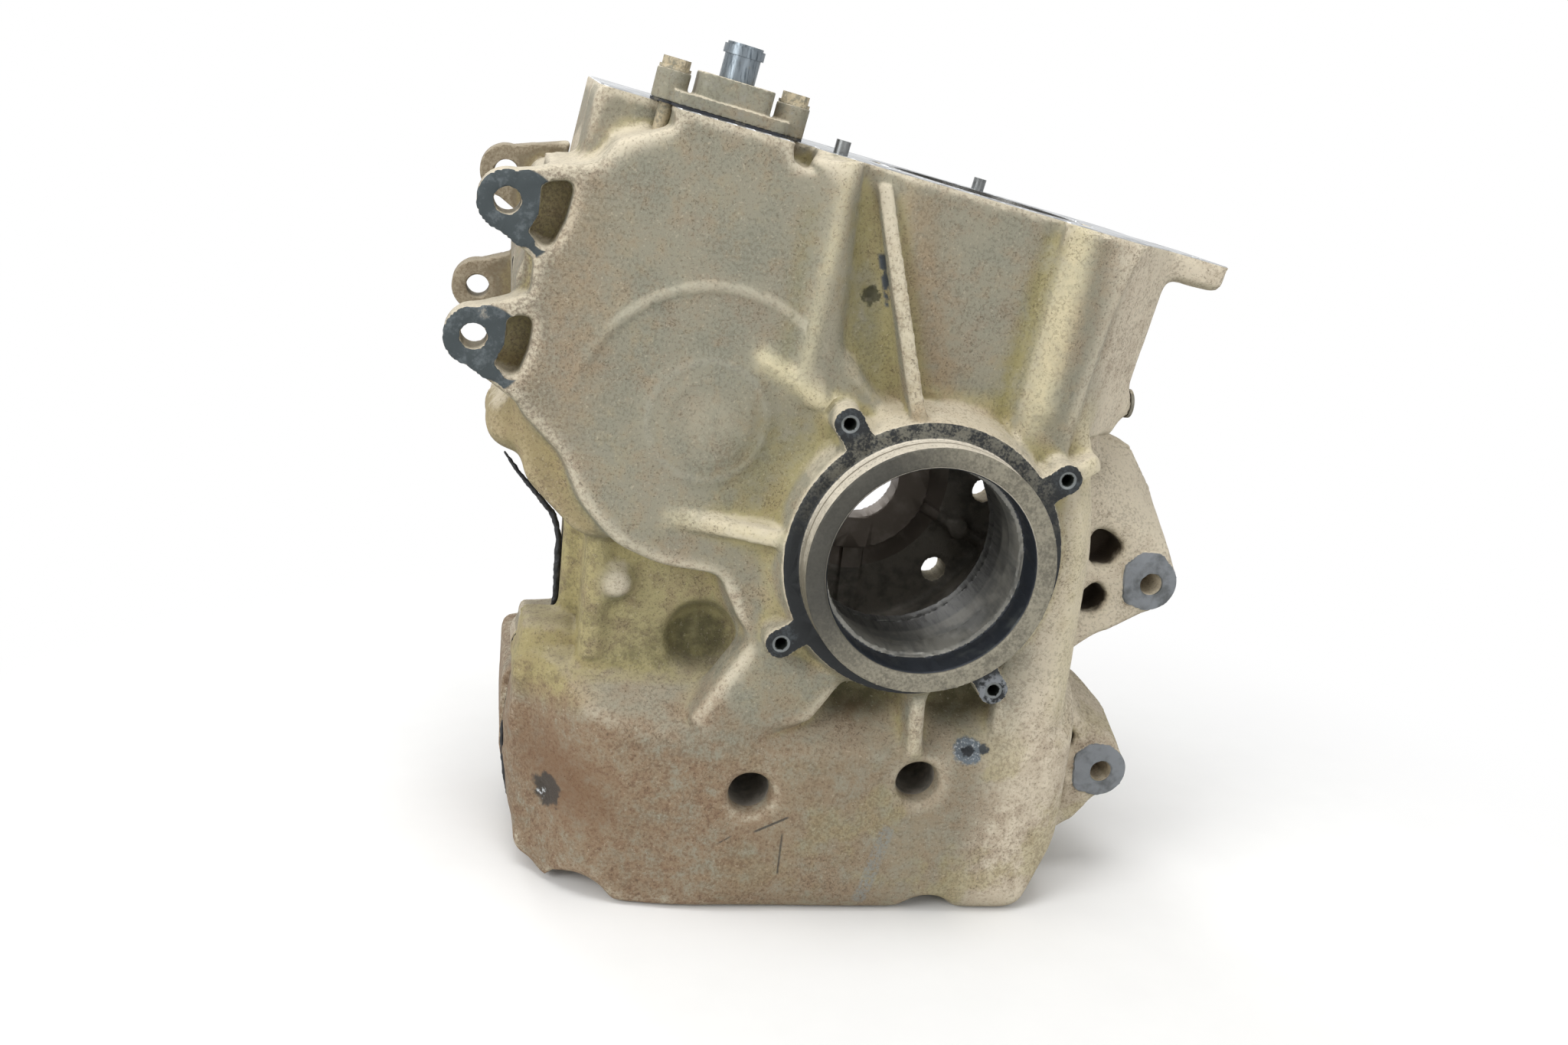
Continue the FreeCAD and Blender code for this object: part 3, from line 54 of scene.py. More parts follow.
# Machined faces along Y, from the front to the back
LAND, GEAR_FACE, MOUNT_FACE, BORE_END, JOINT = 14.0, 28.0, 60.0, 66.5, 90.0
BOLT_SEAT, REAR_MOUNT_FACE, REAR_BORE_FACE, REAR_RIM = 112.0, 128.0, 140.0, 176.0
REAR_LUG_INNER, REAR_LUG_OUTER = 150.0, 164.0

# Radii round the crank axis, then of the round machined spots and of the rings round the gear shaft
MOUTH, REAR_BORE, RING, LAND_EDGE, CHAMBER = 47.0, 48.0, 53.0, 60.0, 78.0
LUG_EYE, MOUNT_DISC, REAR_MOUNT_DISC, BOLT_ROOM, TAP_EAR = 18.0, 22.0, 14.0, 10.0, 7.0
GEAR_ARC, GEAR_HUB = 54.8, 24.6

# Half width of the webs of the tapped ears, and how far from its axis a through hole is machined
EAR_WEB, HOLE_REACH = 6.6, 6.6

LUGS = [(-179.0, 131.0), (-189.0, 78.0)]
EYES = [(p + 3, q - 5) for p, q in LUGS]
MOUNTS = [(124.5, -20.5), (116.7, -116.3)]
TAP_CIRCLE, FIRST_TAP = 68.75, 34.5
TAPS = [
    (TAP_CIRCLE * math.cos(math.radians(turn)), TAP_CIRCLE * math.sin(math.radians(turn)))
    for turn in (FIRST_TAP, FIRST_TAP + 90, FIRST_TAP + 180, FIRST_TAP + 270)
]
CASE_BOLTS = [
    (-170.5, 38), (-155, -75), (-150, -157), (-44, -158), (73, -157), (81, -64), (-84, 110), (-124, -27)
]
WINDOWS = [(47, -47.5), (67.5, -4.5)]
WINGS = [(97, 73), (97, 111)]
HEAD_BOLTS = [(su * 58, CYLINDER_Y + sv * 42) for su in (-1, 1) for sv in (-1, 1)]
GEAR_SHAFT = (-94.5, 50.5)

# Crests of the narrow ribs and webs on the front, in X and Z, with their half widths
RIBS = [
    ((-32.4, 150.5), (-9.5, 60), 4.5),
    ((-74, 78), (-36, 54), 5.5),
    ((-105, 9), (-54, 4), 5.0),
    ((76, 44), (52, 34), 5.5),
]

# Soft crests and troughs of the front, in X and Z: two ends, half width and how far they stand out
SWELLS = [
    ((-48.6, 157), (-57.5, 72), 4.5, 3.0),
    ((57, 140), (49, 66), 7.0, 3.4),
    ((45, 134), (34, 56), 6.0, -2.4),
    ((-40, 140), (-24, 72), 9.0, -1.8),
    ((-21, 146), (-1, 62), 8.0, 2.4),
    ((-72, 77), (-42, 59), 4.5, 3.6),
    ((-104, 9), (-58, 4), 4.0, 1.8),
    ((-62, 44), (-68, 22), 15.0, -3.2),
    ((-104, -4), (-70, -24), 9.0, -1.4),
    ((74, 20), (77, -62), 7.0, 2.0),
]

# Painted highlight along crests, painted shade along troughs, and warm earth, by the name of their layer:
# two ends, half width and share
STREAKS_AND_PAINTED_LIGHT = {
    "crest_highlight": [
        ((-48.6, 157), (-57.5, 74), 3.5, 0.4),
        ((51, 141), (43, 60), 6.5, 0.75),
        ((-74, 78), (-41, 58), 4.5, 0.85),
        ((-105, 9), (-54, 4), 4.5, 0.45),
        ((70, 60), (78, -70), 8.0, 0.6),
        ((-30, 152), (-8, 62), 3.0, 0.1),
        ((-64, -20), (-52, -46), 6.0, 0.15),
    ],
    "trough_shade": [
        ((42, 134), (30, 56), 5.0, 0.75),
        ((-42, 140), (-33, 84), 5.0, 0.6),
        ((-62, 44), (-70, 22), 16.0, 0.5),
        ((-38, 112), (-24, 72), 11.0, 0.5),
        ((-62, 140), (-66, 76), 4.0, 0.3),
    ],
    "warm": [
        ((-17, 142), (4, 66), 9.0, 0.55),
        ((-16, 62), (30, 58), 5.0, 0.7),
        ((52, 110), (48, 84), 6.0, 0.6),
        ((-150, 128), (-150, 60), 14.0, 0.35),
    ],
}

# Hollows darkened green with painted shade: place, radius and share
SHADES = [
    ((-85, 61, -54), 16, 0.8),
    ((-14, 45, -66), 21, 1.0),
    ((30, 45, -66), 21, 1.0),
]

# Smear of rust on the left of the sump, in X and Z
RUST_SMEAR = (-140, -118)

# Pockets behind the two front mounts, darkened with painted shade
WINDOW_PITS = [(102, 80, -5), (98, 80, -29), (98, 80, -102), (97, 80, -130)]

# Knocks in the castings: place, radius and depth; scratches: two ends, half width and depth
GOUGE, GOUGE_TAIL = (35.6, 24, -89.9), (42.8, 24.6, -89.3)
CHIP, CRATER = (-150.2, 52, -129.6), (-31.3, 39, 105.5)
KNOCKS = [
    (GOUGE, 5.8, 1.2),
    (GOUGE_TAIL, 2.4, 0.7),
    (CHIP, 6.0, 1.8),
    (CRATER, 3.6, 1.8),
]
SCRATCHES = [
    ((-57.2, 22, -131.0), (-42.6, 22, -123.6), 0.7, 0.5),
    ((-44.5, 22, -151.5), (-44.4, 22, -131.9), 0.7, 0.5),
    ((-82.9, 23, -144.3), (-67.2, 22, -133.4), 0.6, 0.3),
]


# Meshes

SHARP_ANGLE = math.radians(38)


def across(points):
    """Points in the frame of the leaning block: across it, along Y, and along the cylinder."""
    x, y, z = points.T
    return (
        x * math.cos(LEAN) - z * math.sin(LEAN),
        y,
        x * math.sin(LEAN) + z * math.cos(LEAN),
    )


def near(a, b, places, radius):
    """True where the point a, b lies within a radius of one of the places."""
    inside = np.zeros(len(a), bool)
    for p, q in places:
        inside |= (a - p) ** 2 + (b - q) ** 2 < radius**2
    return inside


def beside(a, b, start, end):
    """Distance of the points a, b from a line between two places."""
    (p, q), (dp, dq) = start, (end[0] - start[0], end[1] - start[1])
    share = np.clip(((a - p) * dp + (b - q) * dq) / (dp * dp + dq * dq), 0, 1)
    return np.hypot(a - p - share * dp, b - q - share * dq)


def machined_front(points):
    """Where a cutter has been over the front half."""
    x, y, z = points.T
    u, v, w = across(points)
    r = np.hypot(x, z)
    webs = np.min([beside(x, z, (p * 0.8, q * 0.8), (p, q)) for p, q in TAPS], 0)
    plug_room = (y > 58) & (y < JOINT) & (np.hypot(y - 70, z - 62) < 6) & (x > 84)
    return (
        ((r < LAND_EDGE + 0.3) & (y < LAND + 1.2))
        | ((r < MOUTH) & (y < BORE_END + 1))
        | (w > DECK - 1.2)
        | (near(x, z, TAPS, TAP_EAR + 0.2) & (abs(y - LAND) < 1.2))
        | ((webs < EAR_WEB) & (abs(y - LAND) < 1.2))
        | (near(x, z, TAPS, 3.7) & (y < 33.5))
        | (near(x, z, LUGS, LUG_EYE) & (abs(y - GEAR_FACE) < 1.1))
        | near(x, z, LUGS, HOLE_REACH)
        | (near(x, z, MOUNTS, MOUNT_DISC) & (abs(y - MOUNT_FACE) < 1.1))
        | near(x, z, MOUNTS, HOLE_REACH)
        | (y > JOINT - 1.4)
        | ((np.hypot(u, v - CYLINDER_Y) < 44.3) & (w > 40))
        | (near(u, v, HEAD_BOLTS, 5.6) & (w > 105))
        | (near(u, v, WINGS, 4.8) & (w > 130))
        | (near(x, z, CASE_BOLTS, 5.3) & (y > 62))
        | plug_room
    )


def machined_rear(points):
    """Where a cutter has been over the rear half."""
    x, y, z = points.T
    w = across(points)[2]
    r = np.hypot(x, z)
    lug_faces = (abs(y - REAR_LUG_INNER) < 1.1) | (abs(y - REAR_LUG_OUTER) < 1.1)
    return (
        (y < JOINT + 1.4)
        | ((r < REAR_BORE + 0.5) & (y > REAR_BORE_FACE - 1.2))
        | ((r < 63) & (y > REAR_RIM - 1.2))
        | (near(x, z, LUGS, LUG_EYE) & lug_faces)
        | near(x, z, LUGS, HOLE_REACH)
        | (near(x, z, MOUNTS, REAR_MOUNT_DISC + 1) & (abs(y - REAR_MOUNT_FACE) < 1.1))
        | near(x, z, MOUNTS, HOLE_REACH)
        | near(x, z, CASE_BOLTS, BOLT_ROOM + 1)
        | (near(x, z, WINDOWS, 7.6) & (y > 146))
        | (near(x, z, [(30, -140)], 12) & (y > 146))
        | (z < FOOT + 0.9)
        | (abs(w - 62) < 1.2)
        | (abs(w - 112) < 1.2)
    )


def object_from(data, name):
    piece = bpy.data.objects.new(name, data)
    bpy.context.scene.collection.objects.link(piece)
    return piece


def mesh_of(carrier):
    """The mesh that an object's modifiers or curve settings make; the object is removed."""
    bpy.context.view_layer.update()
    made = bpy.data.meshes.new_from_object(carrier.evaluated_get(bpy.context.evaluated_depsgraph_get()))
    bpy.data.objects.remove(carrier)
    return made


def with_modifier(mesh, kind, **settings):
    """The mesh as a modifier leaves it."""
    carrier = object_from(mesh, "carrier")
    modifier = carrier.modifiers.new("shape", kind)
    for key, value in settings.items():
        setattr(modifier, key, value)
    return mesh_of(carrier)


def read_points(mesh):
    flat = np.zeros(len(mesh.vertices) * 3, np.float32)
    mesh.vertices.foreach_get("co", flat)
    return flat.reshape(-1, 3).astype(float) / MM


def write_points(mesh, points):
    mesh.vertices.foreach_set("co", (points * MM).astype(np.float32).ravel())
    mesh.update()


def read_normals(mesh):
    flat = np.zeros(len(mesh.vertices) * 3, np.float32)
    mesh.vertex_normals.foreach_get("vector", flat)
    return flat.reshape(-1, 3).astype(float)


def relax(points, edges, free, rounds):
    """Draws each free point halfway to the middle of its neighbours, some times over."""
    count = len(points)
    degree = np.bincount(edges.ravel(), minlength=count)[:, None]
    first, second = edges.T
    for _ in range(rounds):
        middle = np.stack(
            [
                np.bincount(first, points[second, k], count) + np.bincount(second, points[first, k], count)
                for k in range(3)
            ],
            1,
        )
        points = points + 0.5 * free[:, None] * (middle / degree - points)
    return points


def lumps(points, grain):
    """Uneven surface of a sand casting: how far each point stands out, in millimetres."""
    height = np.zeros(len(points))
    for size, share in ((26.0, 0.20), (7.0, 0.11), (2.8, 0.06)):
        height += [share * grain * noise.noise(Vector(p) / size) for p in points]
    return height


def firm_front(points):
    """How much of the rounding a cast edge of the front half takes: little on ribs, eyes and thin walls."""
    x, _, z = points.T
    give = np.ones(len(points))
    for start, end, half in RIBS:
        give = np.minimum(give, np.clip((beside(x, z, start, end) - half) / 7, 0.22, 1))
    give = np.where(near(x, z, LUGS, 30) | near(x, z, MOUNTS, 30), 0.3, give)
    give = np.where(near(x, z, TAPS, TAP_EAR + 3), 0.3, give)
    return np.where(across(points)[2] > DECK - 10, 0.25, give)


def firm_rear(points):
    """The same for the rear half, which is rounded less."""
    x, _, z = points.T
    return np.where(near(x, z, LUGS + MOUNTS + CASE_BOLTS, 22) | (np.hypot(x, z) < 66), 0.25, 0.5)


def broad_forms(points, normals):
    """How far the front stands out in its soft crests and in the faint rings round the gear shaft."""
    x, y, z = points.T
    swell = np.zeros(len(points))
    for start, end, half, rise in SWELLS:
        swell += rise * np.exp(-((beside(x, z, start, end) / half) ** 2))
    swell *= np.clip(-normals[:, 1] * 2 - 0.8, 0, 1) * (y < 42)
    dx, dz = x - GEAR_SHAFT[0], z - GEAR_SHAFT[1]
    r, turn = np.hypot(dx, dz), np.degrees(np.arctan2(dz, dx))
    arc = np.clip((turn - 38) / 30, 0, 1) * np.clip((172 - turn) / 22, 0, 1)
    height = 1.5 * arc * np.exp(-(((r - GEAR_ARC) / 2.3) ** 2))
    for radius, rise in ((GEAR_HUB, 0.5), (17.0, 0.4), (30.0, -0.3)):
        height += rise * np.exp(-(((r - radius) / 1.7) ** 2))
    return swell + height * (abs(y - GEAR_FACE) < 2.5)


def batter(points):
    """How deep each point lies in a knock or a scratch."""
    depth = np.zeros(len(points))
    for place, radius, deep in KNOCKS:
        reach = np.linalg.norm(points - np.array(place), axis=1) / radius
        close = reach < 1.3
        ragged = np.array([noise.noise(Vector(p) / 1.9) for p in points[close]])
        bite = np.clip(1.1 - reach[close] + 0.35 * ragged, 0, 0.6) / 0.6
        depth[close] = np.maximum(depth[close], deep * bite)
    for start, end, half, deep in SCRATCHES:
        start, end = np.array(start), np.array(end)
        along = end - start
        share = np.clip(((points - start) @ along) / (along @ along), 0, 1)
        reach = np.linalg.norm(points - start - share[:, None] * along, axis=1) / half
        depth = np.maximum(depth, deep * np.clip(1 - reach, 0, 1))
    return depth


def stand_out(points, edges, normals, rounds):
    """How far the neighbourhood of each point lies outside it: positive in a hollow, negative on an edge."""
    even = relax(points, edges, np.ones(len(points)), rounds)
    return np.einsum("ij,ij->i", even - points, normals)


def add_layer(mesh, name, values):
    layer = mesh.attributes.new(name, "FLOAT", "POINT")
    layer.data.foreach_set("value", values.astype(np.float32))


def add_streaks_and_shading(mesh, points, normals):
    """Layers that say where the front casting takes painted highlight on crests, painted shade along troughs
    and in hollows, and warm earth.
    """
    x, y, z = points.T
    facing = np.clip(-normals[:, 1] * 2 - 0.2, 0, 1) * (y < 45)
    for name, lines in STREAKS_AND_PAINTED_LIGHT.items():
        streak_and_light = np.zeros(len(points))
        for start, end, half, share in lines:
            streak_and_light = np.maximum(streak_and_light, share * np.exp(-((beside(x, z, start, end) / half) ** 2)))
        add_layer(mesh, name, streak_and_light * facing)
    # painted shade in hollows
    shade = np.zeros(len(points))
    for place, radius, share in SHADES:
        reach = np.linalg.norm(points - np.array(place), axis=1) / radius
        shade = np.maximum(shade, share * np.clip((1.15 - reach) * 2, 0, 1))
    add_layer(mesh, "shade", shade)


def cast_skin(node, voxel, rounds, machined=None, firm=None, grain=1.0, limit=190000, front=False):
    """Casting over a CAD node: its edges are rounded and its skin uneven, except where it is machined.

    A voxel is in millimetres, and the limit is a number of triangles.
    """
    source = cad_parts[node]
    merged = bmesh.new()
    merged.from_mesh(source.data)
    bmesh.ops.remove_doubles(merged, verts=merged.verts, dist=1e-6)
    tree = BVHTree.FromBMesh(merged)
    mesh = bpy.data.meshes.new(node + "_skin")
    merged.to_mesh(mesh)
    merged.free()
    mesh = with_modifier(mesh, "REMESH", mode="VOXEL", voxel_size=voxel * MM)
    points = read_points(mesh)
    edges = np.zeros(len(mesh.edges) * 2, np.int32)
    mesh.edges.foreach_get("vertices", edges)
    edges = edges.reshape(-1, 2)
    fixed = machined(points) if machined else np.zeros(len(points), bool)
    for i in np.flatnonzero(fixed):
        spot = tree.find_nearest(Vector(points[i] * MM))[0]
        points[i] = np.array(spot) / MM
    free = np.where(fixed, 0.0, 1.0)
    points = relax(points, edges, free * (firm(points) if firm else 1.0), rounds)
    write_points(mesh, points)
    normals = read_normals(mesh)
    for name, reach in (("relief", 14), ("valley", 110)):
        add_layer(mesh, name, stand_out(points, edges, normals, reach))
    add_layer(mesh, "worked", 1 - free)
    if front:
        add_streaks_and_shading(mesh, points, normals)
    lift = free * lumps(points, grain) * (points[:, 2] > FOOT + 1)
    if front:
        lift += free * broad_forms(points, normals) - batter(points)
    write_points(mesh, points + normals * lift[:, None])
    triangles = sum(len(p.vertices) - 2 for p in mesh.polygons)
    if triangles > limit:
        mesh = with_modifier(mesh, "DECIMATE", decimate_type="COLLAPSE", ratio=limit / triangles)
    mesh.shade_smooth()
    mesh.set_sharp_from_angle(angle=SHARP_ANGLE)
    piece = object_from(mesh, node + "_casting")
    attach(piece, "root")
    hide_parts(node)
    return piece


# Materials


def tone(red, green, blue):
    """Linear colour from a tone as it is seen, each part from 0 to 255."""
    parts = [c / 255 for c in (red, green, blue)]
    return tuple(c / 12.92 if c <= 0.04045 else ((c + 0.055) / 1.055) ** 2.4 for c in parts) + (1.0,)


class Wire:
    """A socket that Python's operators join to Math nodes."""

    def __init__(self, finish, socket):
        self.finish, self.socket = finish, socket

    def math(self, operation, *values):
        return self.finish.add("Math", {"operation": operation}, *values)

    def __add__(self, other):
        return self.math("ADD", self, other)

    def __sub__(self, other):
        return self.math("SUBTRACT", self, other)

    def __rsub__(self, other):
        return self.math("SUBTRACT", other, self)

    def __mul__(self, other):
        return self.math("MULTIPLY", self, other)

    def __pow__(self, other):
        return self.math("POWER", self, other)

    def __abs__(self):
        return self.math("ABSOLUTE", self)

    __radd__ = __add__
    __rmul__ = __mul__

    def high(self, other):
        return self.math("MAXIMUM", self, other)


class Finish:
    """A material under construction."""

    def __init__(self, name):
        self.material = bpy.data.materials.new(name)
        self.material.use_nodes = True
        self.tree = self.material.node_tree
        self.shader = next(n for n in self.tree.nodes if n.type == "BSDF_PRINCIPLED")
        self.place = self.add("TexCoord", out="Object")
        self.normal = self.add("NewGeometry", out="Normal")
        self.x, self.y, self.z = self.split(self.place, 1 / MM)

    def feed(self, node, key, value):
        """Joins a socket to an input, or writes a value into it."""
        if isinstance(value, Wire):
            self.tree.links.new(value.socket, node.inputs[key])
        elif value is not None:
            node.inputs[key].default_value = value

    def add(self, kind, settings=None, *values, out=0, **named):
        node = self.tree.nodes.new("ShaderNode" + kind)
        for key, value in (settings or {}).items():
            setattr(node, key, value)
        for key, value in [*enumerate(values), *named.items()]:
            self.feed(node, key, value)
        return Wire(self, node.outputs[out])

    def split(self, vector, scale=1.0):
        scaled = self.add("VectorMath", {"operation": "SCALE"}, vector, Scale=scale)
        node = self.tree.nodes.new("ShaderNodeSeparateXYZ")
        self.tree.links.new(scaled.socket, node.inputs[0])
        return [Wire(self, socket) for socket in node.outputs]

    def cloud(self, size, detail=3.0, rough=0.55, shift=0.0, stretch=None):
        """Soft noise from 0 to 1 whose lumps have a size in millimetres."""
        place = self.place
        if stretch or shift:
            offset = (shift, shift * 0.7, -shift)
            place = self.add("Mapping", None, place, offset, (0, 0, 0), stretch or (1, 1, 1))
        return self.add("TexNoise", None, place, Scale=1 / (size * MM), Detail=detail, Roughness=rough)

    def step(self, value, start, end):
        """0 below start, 1 above end, smooth between; start may be above end."""
        return self.add("MapRange", {"interpolation_type": "SMOOTHSTEP"}, value, start, end, 0.0, 1.0)

    def between(self, value, low, high, soft=0.15):
        return self.step(value, low - soft, low + soft) * self.step(value, high + soft, high - soft)

    def mix(self, first, second, share):
        """The first colour where the share is 0, the second where it is 1."""
        node = self.tree.nodes.new("ShaderNodeMix")
        node.data_type = "RGBA"
        for key, value in ((0, share), (6, first), (7, second)):
            self.feed(node, key, value)
        return Wire(self, node.outputs[2])

    def two_tone(self, first, second, pattern, start, end):
        """Colour that turns from the first to the second as a pattern goes from start to end."""
        return self.mix(first, second, self.step(pattern, start, end))

    def away(self, a, b, p, q):
        """Distance of the point a, b from p, q."""
        return ((a - p) * (a - p) + (b - q) * (b - q)) ** 0.5

    def rounds(self, places, start, end):
        """1 in round spots about some places in X and Z, 0 outside them."""
        return reduce(Wire.high, [self.step(self.away(self.x, self.z, p, q), start, end) for p, q in places])

    def spot(self, place, radius, ragged, size):
        """1 inside a blot round a place, 0 outside; its rim is ragged in lumps of a size."""
        offset = self.add("VectorMath", {"operation": "SUBTRACT"}, self.place, [c * MM for c in place])
        reach = self.add("VectorMath", {"operation": "LENGTH"}, offset, out="Value") * (1 / (radius * MM))
        return self.step(reach + (self.cloud(size) - 0.5) * (2 * ragged), 1.1, 0.8)

    def stripe(self, start, end, half):
        """1 along a line between two places, 0 away from it."""
        start, end = Vector(start), Vector(end)
        middle, along = (start + end) / 2, (end - start)
        turn = along.to_track_quat("X", "Z").to_matrix().transposed().to_euler()
        moved = self.add("VectorMath", {"operation": "SUBTRACT"}, self.place, [c * MM for c in middle])
        turned = self.add("Mapping", None, moved, (0, 0, 0), tuple(turn), (1, 1, 1))
        x, y, z = self.split(turned, 1 / MM)
        reach = along.length / 2
        within = self.step(abs(x), reach + 1, reach - 1)
        return within * self.step((y * y + z * z) ** 0.5, half * 1.3, half * 0.7)

    def attribute(self, name):
        return self.add("Attribute", {"attribute_name": name}, out="Fac")

    def grain(self, height, depth):
        """Bump of a height map, its depth in millimetres."""
        return self.add("Bump", None, Strength=1.0, Distance=depth * MM, Height=height)

    def finish(self, color, rough, metal=0.0, bump=None):
        inputs = {"Base Color": color, "Roughness": rough, "Metallic": metal, "Normal": bump}
        for key, value in inputs.items():
            self.feed(self.shader, key, value)
        return self.material


SAND = tone(149, 141, 114)
OLIVE = tone(136, 132, 115)
STONE = tone(130, 129, 114)
YELLOW = tone(160, 150, 104)
BEIGE = tone(208, 197, 176)
EARTH = tone(128, 107, 84)
CLAY = tone(140, 120, 100)
RUST = tone(98, 66, 48)
PIT = tone(74, 64, 50)
PALE = tone(208, 198, 176)
MOSS = tone(78, 76, 46)
BARE = tone(166, 170, 172)
DARK_ROOM = tone(140, 134, 124)


def dusty(f, cast=False):
    """Colour, roughness and height of cast alloy under road dust, with painted shade on downward faces; cast
    skins know their hollows and edges, which take painted shade and painted highlight.
    """
    broad, patches, mottle = f.cloud(70, 3), f.cloud(24, 4, shift=3.0), f.cloud(6.5, 4, 0.6, shift=7.0)
    grit, sand = f.cloud(1.4, 4, 0.7, shift=11.0), f.cloud(0.9, 2, 0.6, shift=29.0)
    freckles = f.cloud(30, 4, 0.6, shift=51.0)
    up = f.split(f.normal)[2]
    color = f.mix(OLIVE, STONE, f.step(patches, 0.40, 0.66) * 0.8)
    color = f.mix(color, SAND, f.step(broad * 0.4 + mottle * 0.6, 0.46, 0.66) * 0.5)
    if cast:
        relief, valley = f.attribute("relief"), f.attribute("valley")
        color = f.mix(color, BEIGE, f.step(f.x + (broad - 0.5) * 40 - f.z * 0.1, 46, 72) * 0.9)
        color = f.mix(color, YELLOW, f.step(valley + (mottle - 0.5), 0.3, 1.9) * 0.75)
        # deep hollows darker green: a green tint, with painted shade
        color = f.mix(color, MOSS, f.step(valley + (mottle - 0.5), 1.5, 5.0) * 0.6)
        # edges paler: rubbed dust, with painted highlight
        color = f.mix(color, PALE, f.step(relief + valley * 0.1, -0.08, -0.6) * 0.7)
        violet = f.step(f.x + (patches - 0.5) * 40, -132, -162) * f.step(grit, 0.36, 0.6)
        color = f.mix(color, tone(114, 100, 86), violet * 0.55)
        bulge = f.step(f.x, -122, -140) * f.between(f.z, -84, 70, 6) * f.between(f.y, 38, 92, 2)
        color = f.mix(color, tone(150, 134, 92), bulge * 0.7)
        flank = f.between(f.y, 46, 92, 2) * f.step(f.x, -56, -66) * f.between(f.z, -84, 20, 8)
        color = f.mix(color, YELLOW, flank * 0.75)
        color = f.mix(color, MOSS, flank * (0.05 + f.step(mottle * 0.6 + patches * 0.4, 0.46, 0.62) * 0.4))
    color = f.mix(color, CLAY, f.step(freckles * 0.4 + mottle * 0.4 + grit * 0.2, 0.46, 0.64) * 0.45)
    high = f.step(f.z, -50, 20)
    color = f.mix(color, PALE, f.step(up + (mottle - 0.5), 0.3, 0.9) * (0.3 + high * 0.5))
    # painted shade: downward faces darker green
    color = f.mix(color, MOSS, f.step(up + (mottle - 0.5) * 0.4, -0.15, -0.8) * 0.5)
    if cast:
        ragged = f.step(mottle * 0.6 + patches * 0.4, 0.3, 0.56)
        color = f.mix(color, tone(150, 130, 102), f.attribute("warm") * ragged)
        # painted shade along troughs, in a deep yellow-olive
        color = f.mix(color, tone(126, 119, 74), f.attribute("trough_shade") * ragged)
        # painted highlight along crests
        color = f.mix(color, tone(204, 194, 160), f.attribute("crest_highlight") * (0.4 + ragged * 0.6))
        # painted shade: hollows darkened green
        color = f.mix(color, tone(64, 62, 38), f.attribute("shade") * (0.6 + ragged * 0.4))
        low = f.step(f.z + (patches - 0.5) * 50, -60, -100)
        left = f.step(f.x + (broad - 0.5) * 80, 60, -90)
        color = f.mix(color, EARTH, low * (0.3 + left * 0.6) * f.step(mottle * 0.6 + grit * 0.4, 0.3, 0.55))
        color = f.mix(color, RUST, low * left * f.step(grit * 0.5 + mottle * 0.5, 0.5, 0.62) * 0.4)
        color = f.mix(color, YELLOW, low * (1 - left) * f.step(patches, 0.5, 0.62) * 0.4)
    worn = f.step(grit + (patches - 0.5) * 0.3, 0.50, 0.64)
    color = f.mix(color, PIT, worn * 0.3)
    specks = f.step(sand + (mottle - 0.5) * 0.3 + (freckles - 0.5) * 0.4, 0.64, 0.72)
    color = f.mix(color, PIT, specks * 0.42)
    color = f.mix(color, PALE, f.step(f.cloud(1.3, 3, 0.6, shift=17.0), 0.58, 0.74) * 0.22)
    rough = 0.86 + mottle * 0.12
    height = grit * 0.6 + sand * 0.4 - worn * 0.25 - specks * 0.4
    return color, rough, height


class Casting(Finish):
    """Cast alloy under dust, over which machined and stained finishes and painted shade are laid."""

    def __init__(self, name):
        super().__init__(name)
        self.color, self.rough, self.height = dusty(self, cast=True)
        self.metal = None
        self.r = self.away(self.x, self.z, 0, 0)
        self.mottle = self.cloud(6, 4, 0.6, shift=31.0)
        self.fine = self.cloud(1.2, 3, 0.6, shift=37.0)
        self.scuff = self.cloud(14, 4, shift=41.0)

    def lay(self, mask, tint, rough, metal, dust=0.0):
        """Puts a finish over what is there, with gaps where dust covers it again."""
        if dust:
            gaps = self.step(self.mottle * 0.6 + self.scuff * 0.4, 0.66 - dust * 0.3, 0.74 - dust * 0.2)
            mask = mask * (1 - gaps * 0.8)
        self.color = self.mix(self.color, tint, mask)
        self.rough = self.rough * (1 - mask) + mask * rough
        self.metal = self.metal * (1 - mask) + mask * metal if self.metal else mask * metal


def rooms(f, chamber_end, sump_start):
    """Stained walls of the crank chamber, the gear room and the sump."""
    chamber = f.step(f.r, CHAMBER + 1, CHAMBER) * f.between(f.y, BORE_END, chamber_end)
    gear_room = f.between(f.x, -166.5, -79.5) * f.between(f.z, 1.5, 132.5) * f.between(f.y, 47.5, 147.0)
    sump = f.between(f.x, -160, 89) * f.between(f.z, -157.5, -66) * f.between(f.y, sump_start, 147.8)
    sump_front = f.between(f.x, -112.5, 70.5) * f.between(f.z, -157.5, -101.5) * f.between(f.y, 30.2, 92)
    stained = f.two_tone(DARK_ROOM, tone(104, 100, 92), f.scuff * 0.6 + f.mottle * 0.4, 0.42, 0.62)
    f.lay(chamber.high(gear_room).high(sump).high(sump_front), stained, 0.5 + f.mottle * 0.2, 0.15)


def gear_rings(f):
    """Rubbed rings round the gear shaft."""
    shaft = f.away(f.x, f.z, *GEAR_SHAFT)
    rubbed = f.between(f.y, GEAR_FACE - 3, GEAR_FACE + 2) * f.step(f.mottle, 0.3, 0.5)
    arc = f.step(abs(shaft - GEAR_ARC), 3.2, 1.0) * f.step(f.z, 78, 94)
    f.lay(arc * rubbed * 0.45, tone(186, 180, 160), 0.9, 0.0)
    f.lay(f.step(abs(shaft - GEAR_HUB), 2.2, 0.8) * rubbed * 0.16, tone(160, 160, 148), 0.9, 0.0)
    f.lay(f.step(shaft, 15, 5) * rubbed * 0.3, tone(172, 164, 142), 0.9, 0.0)


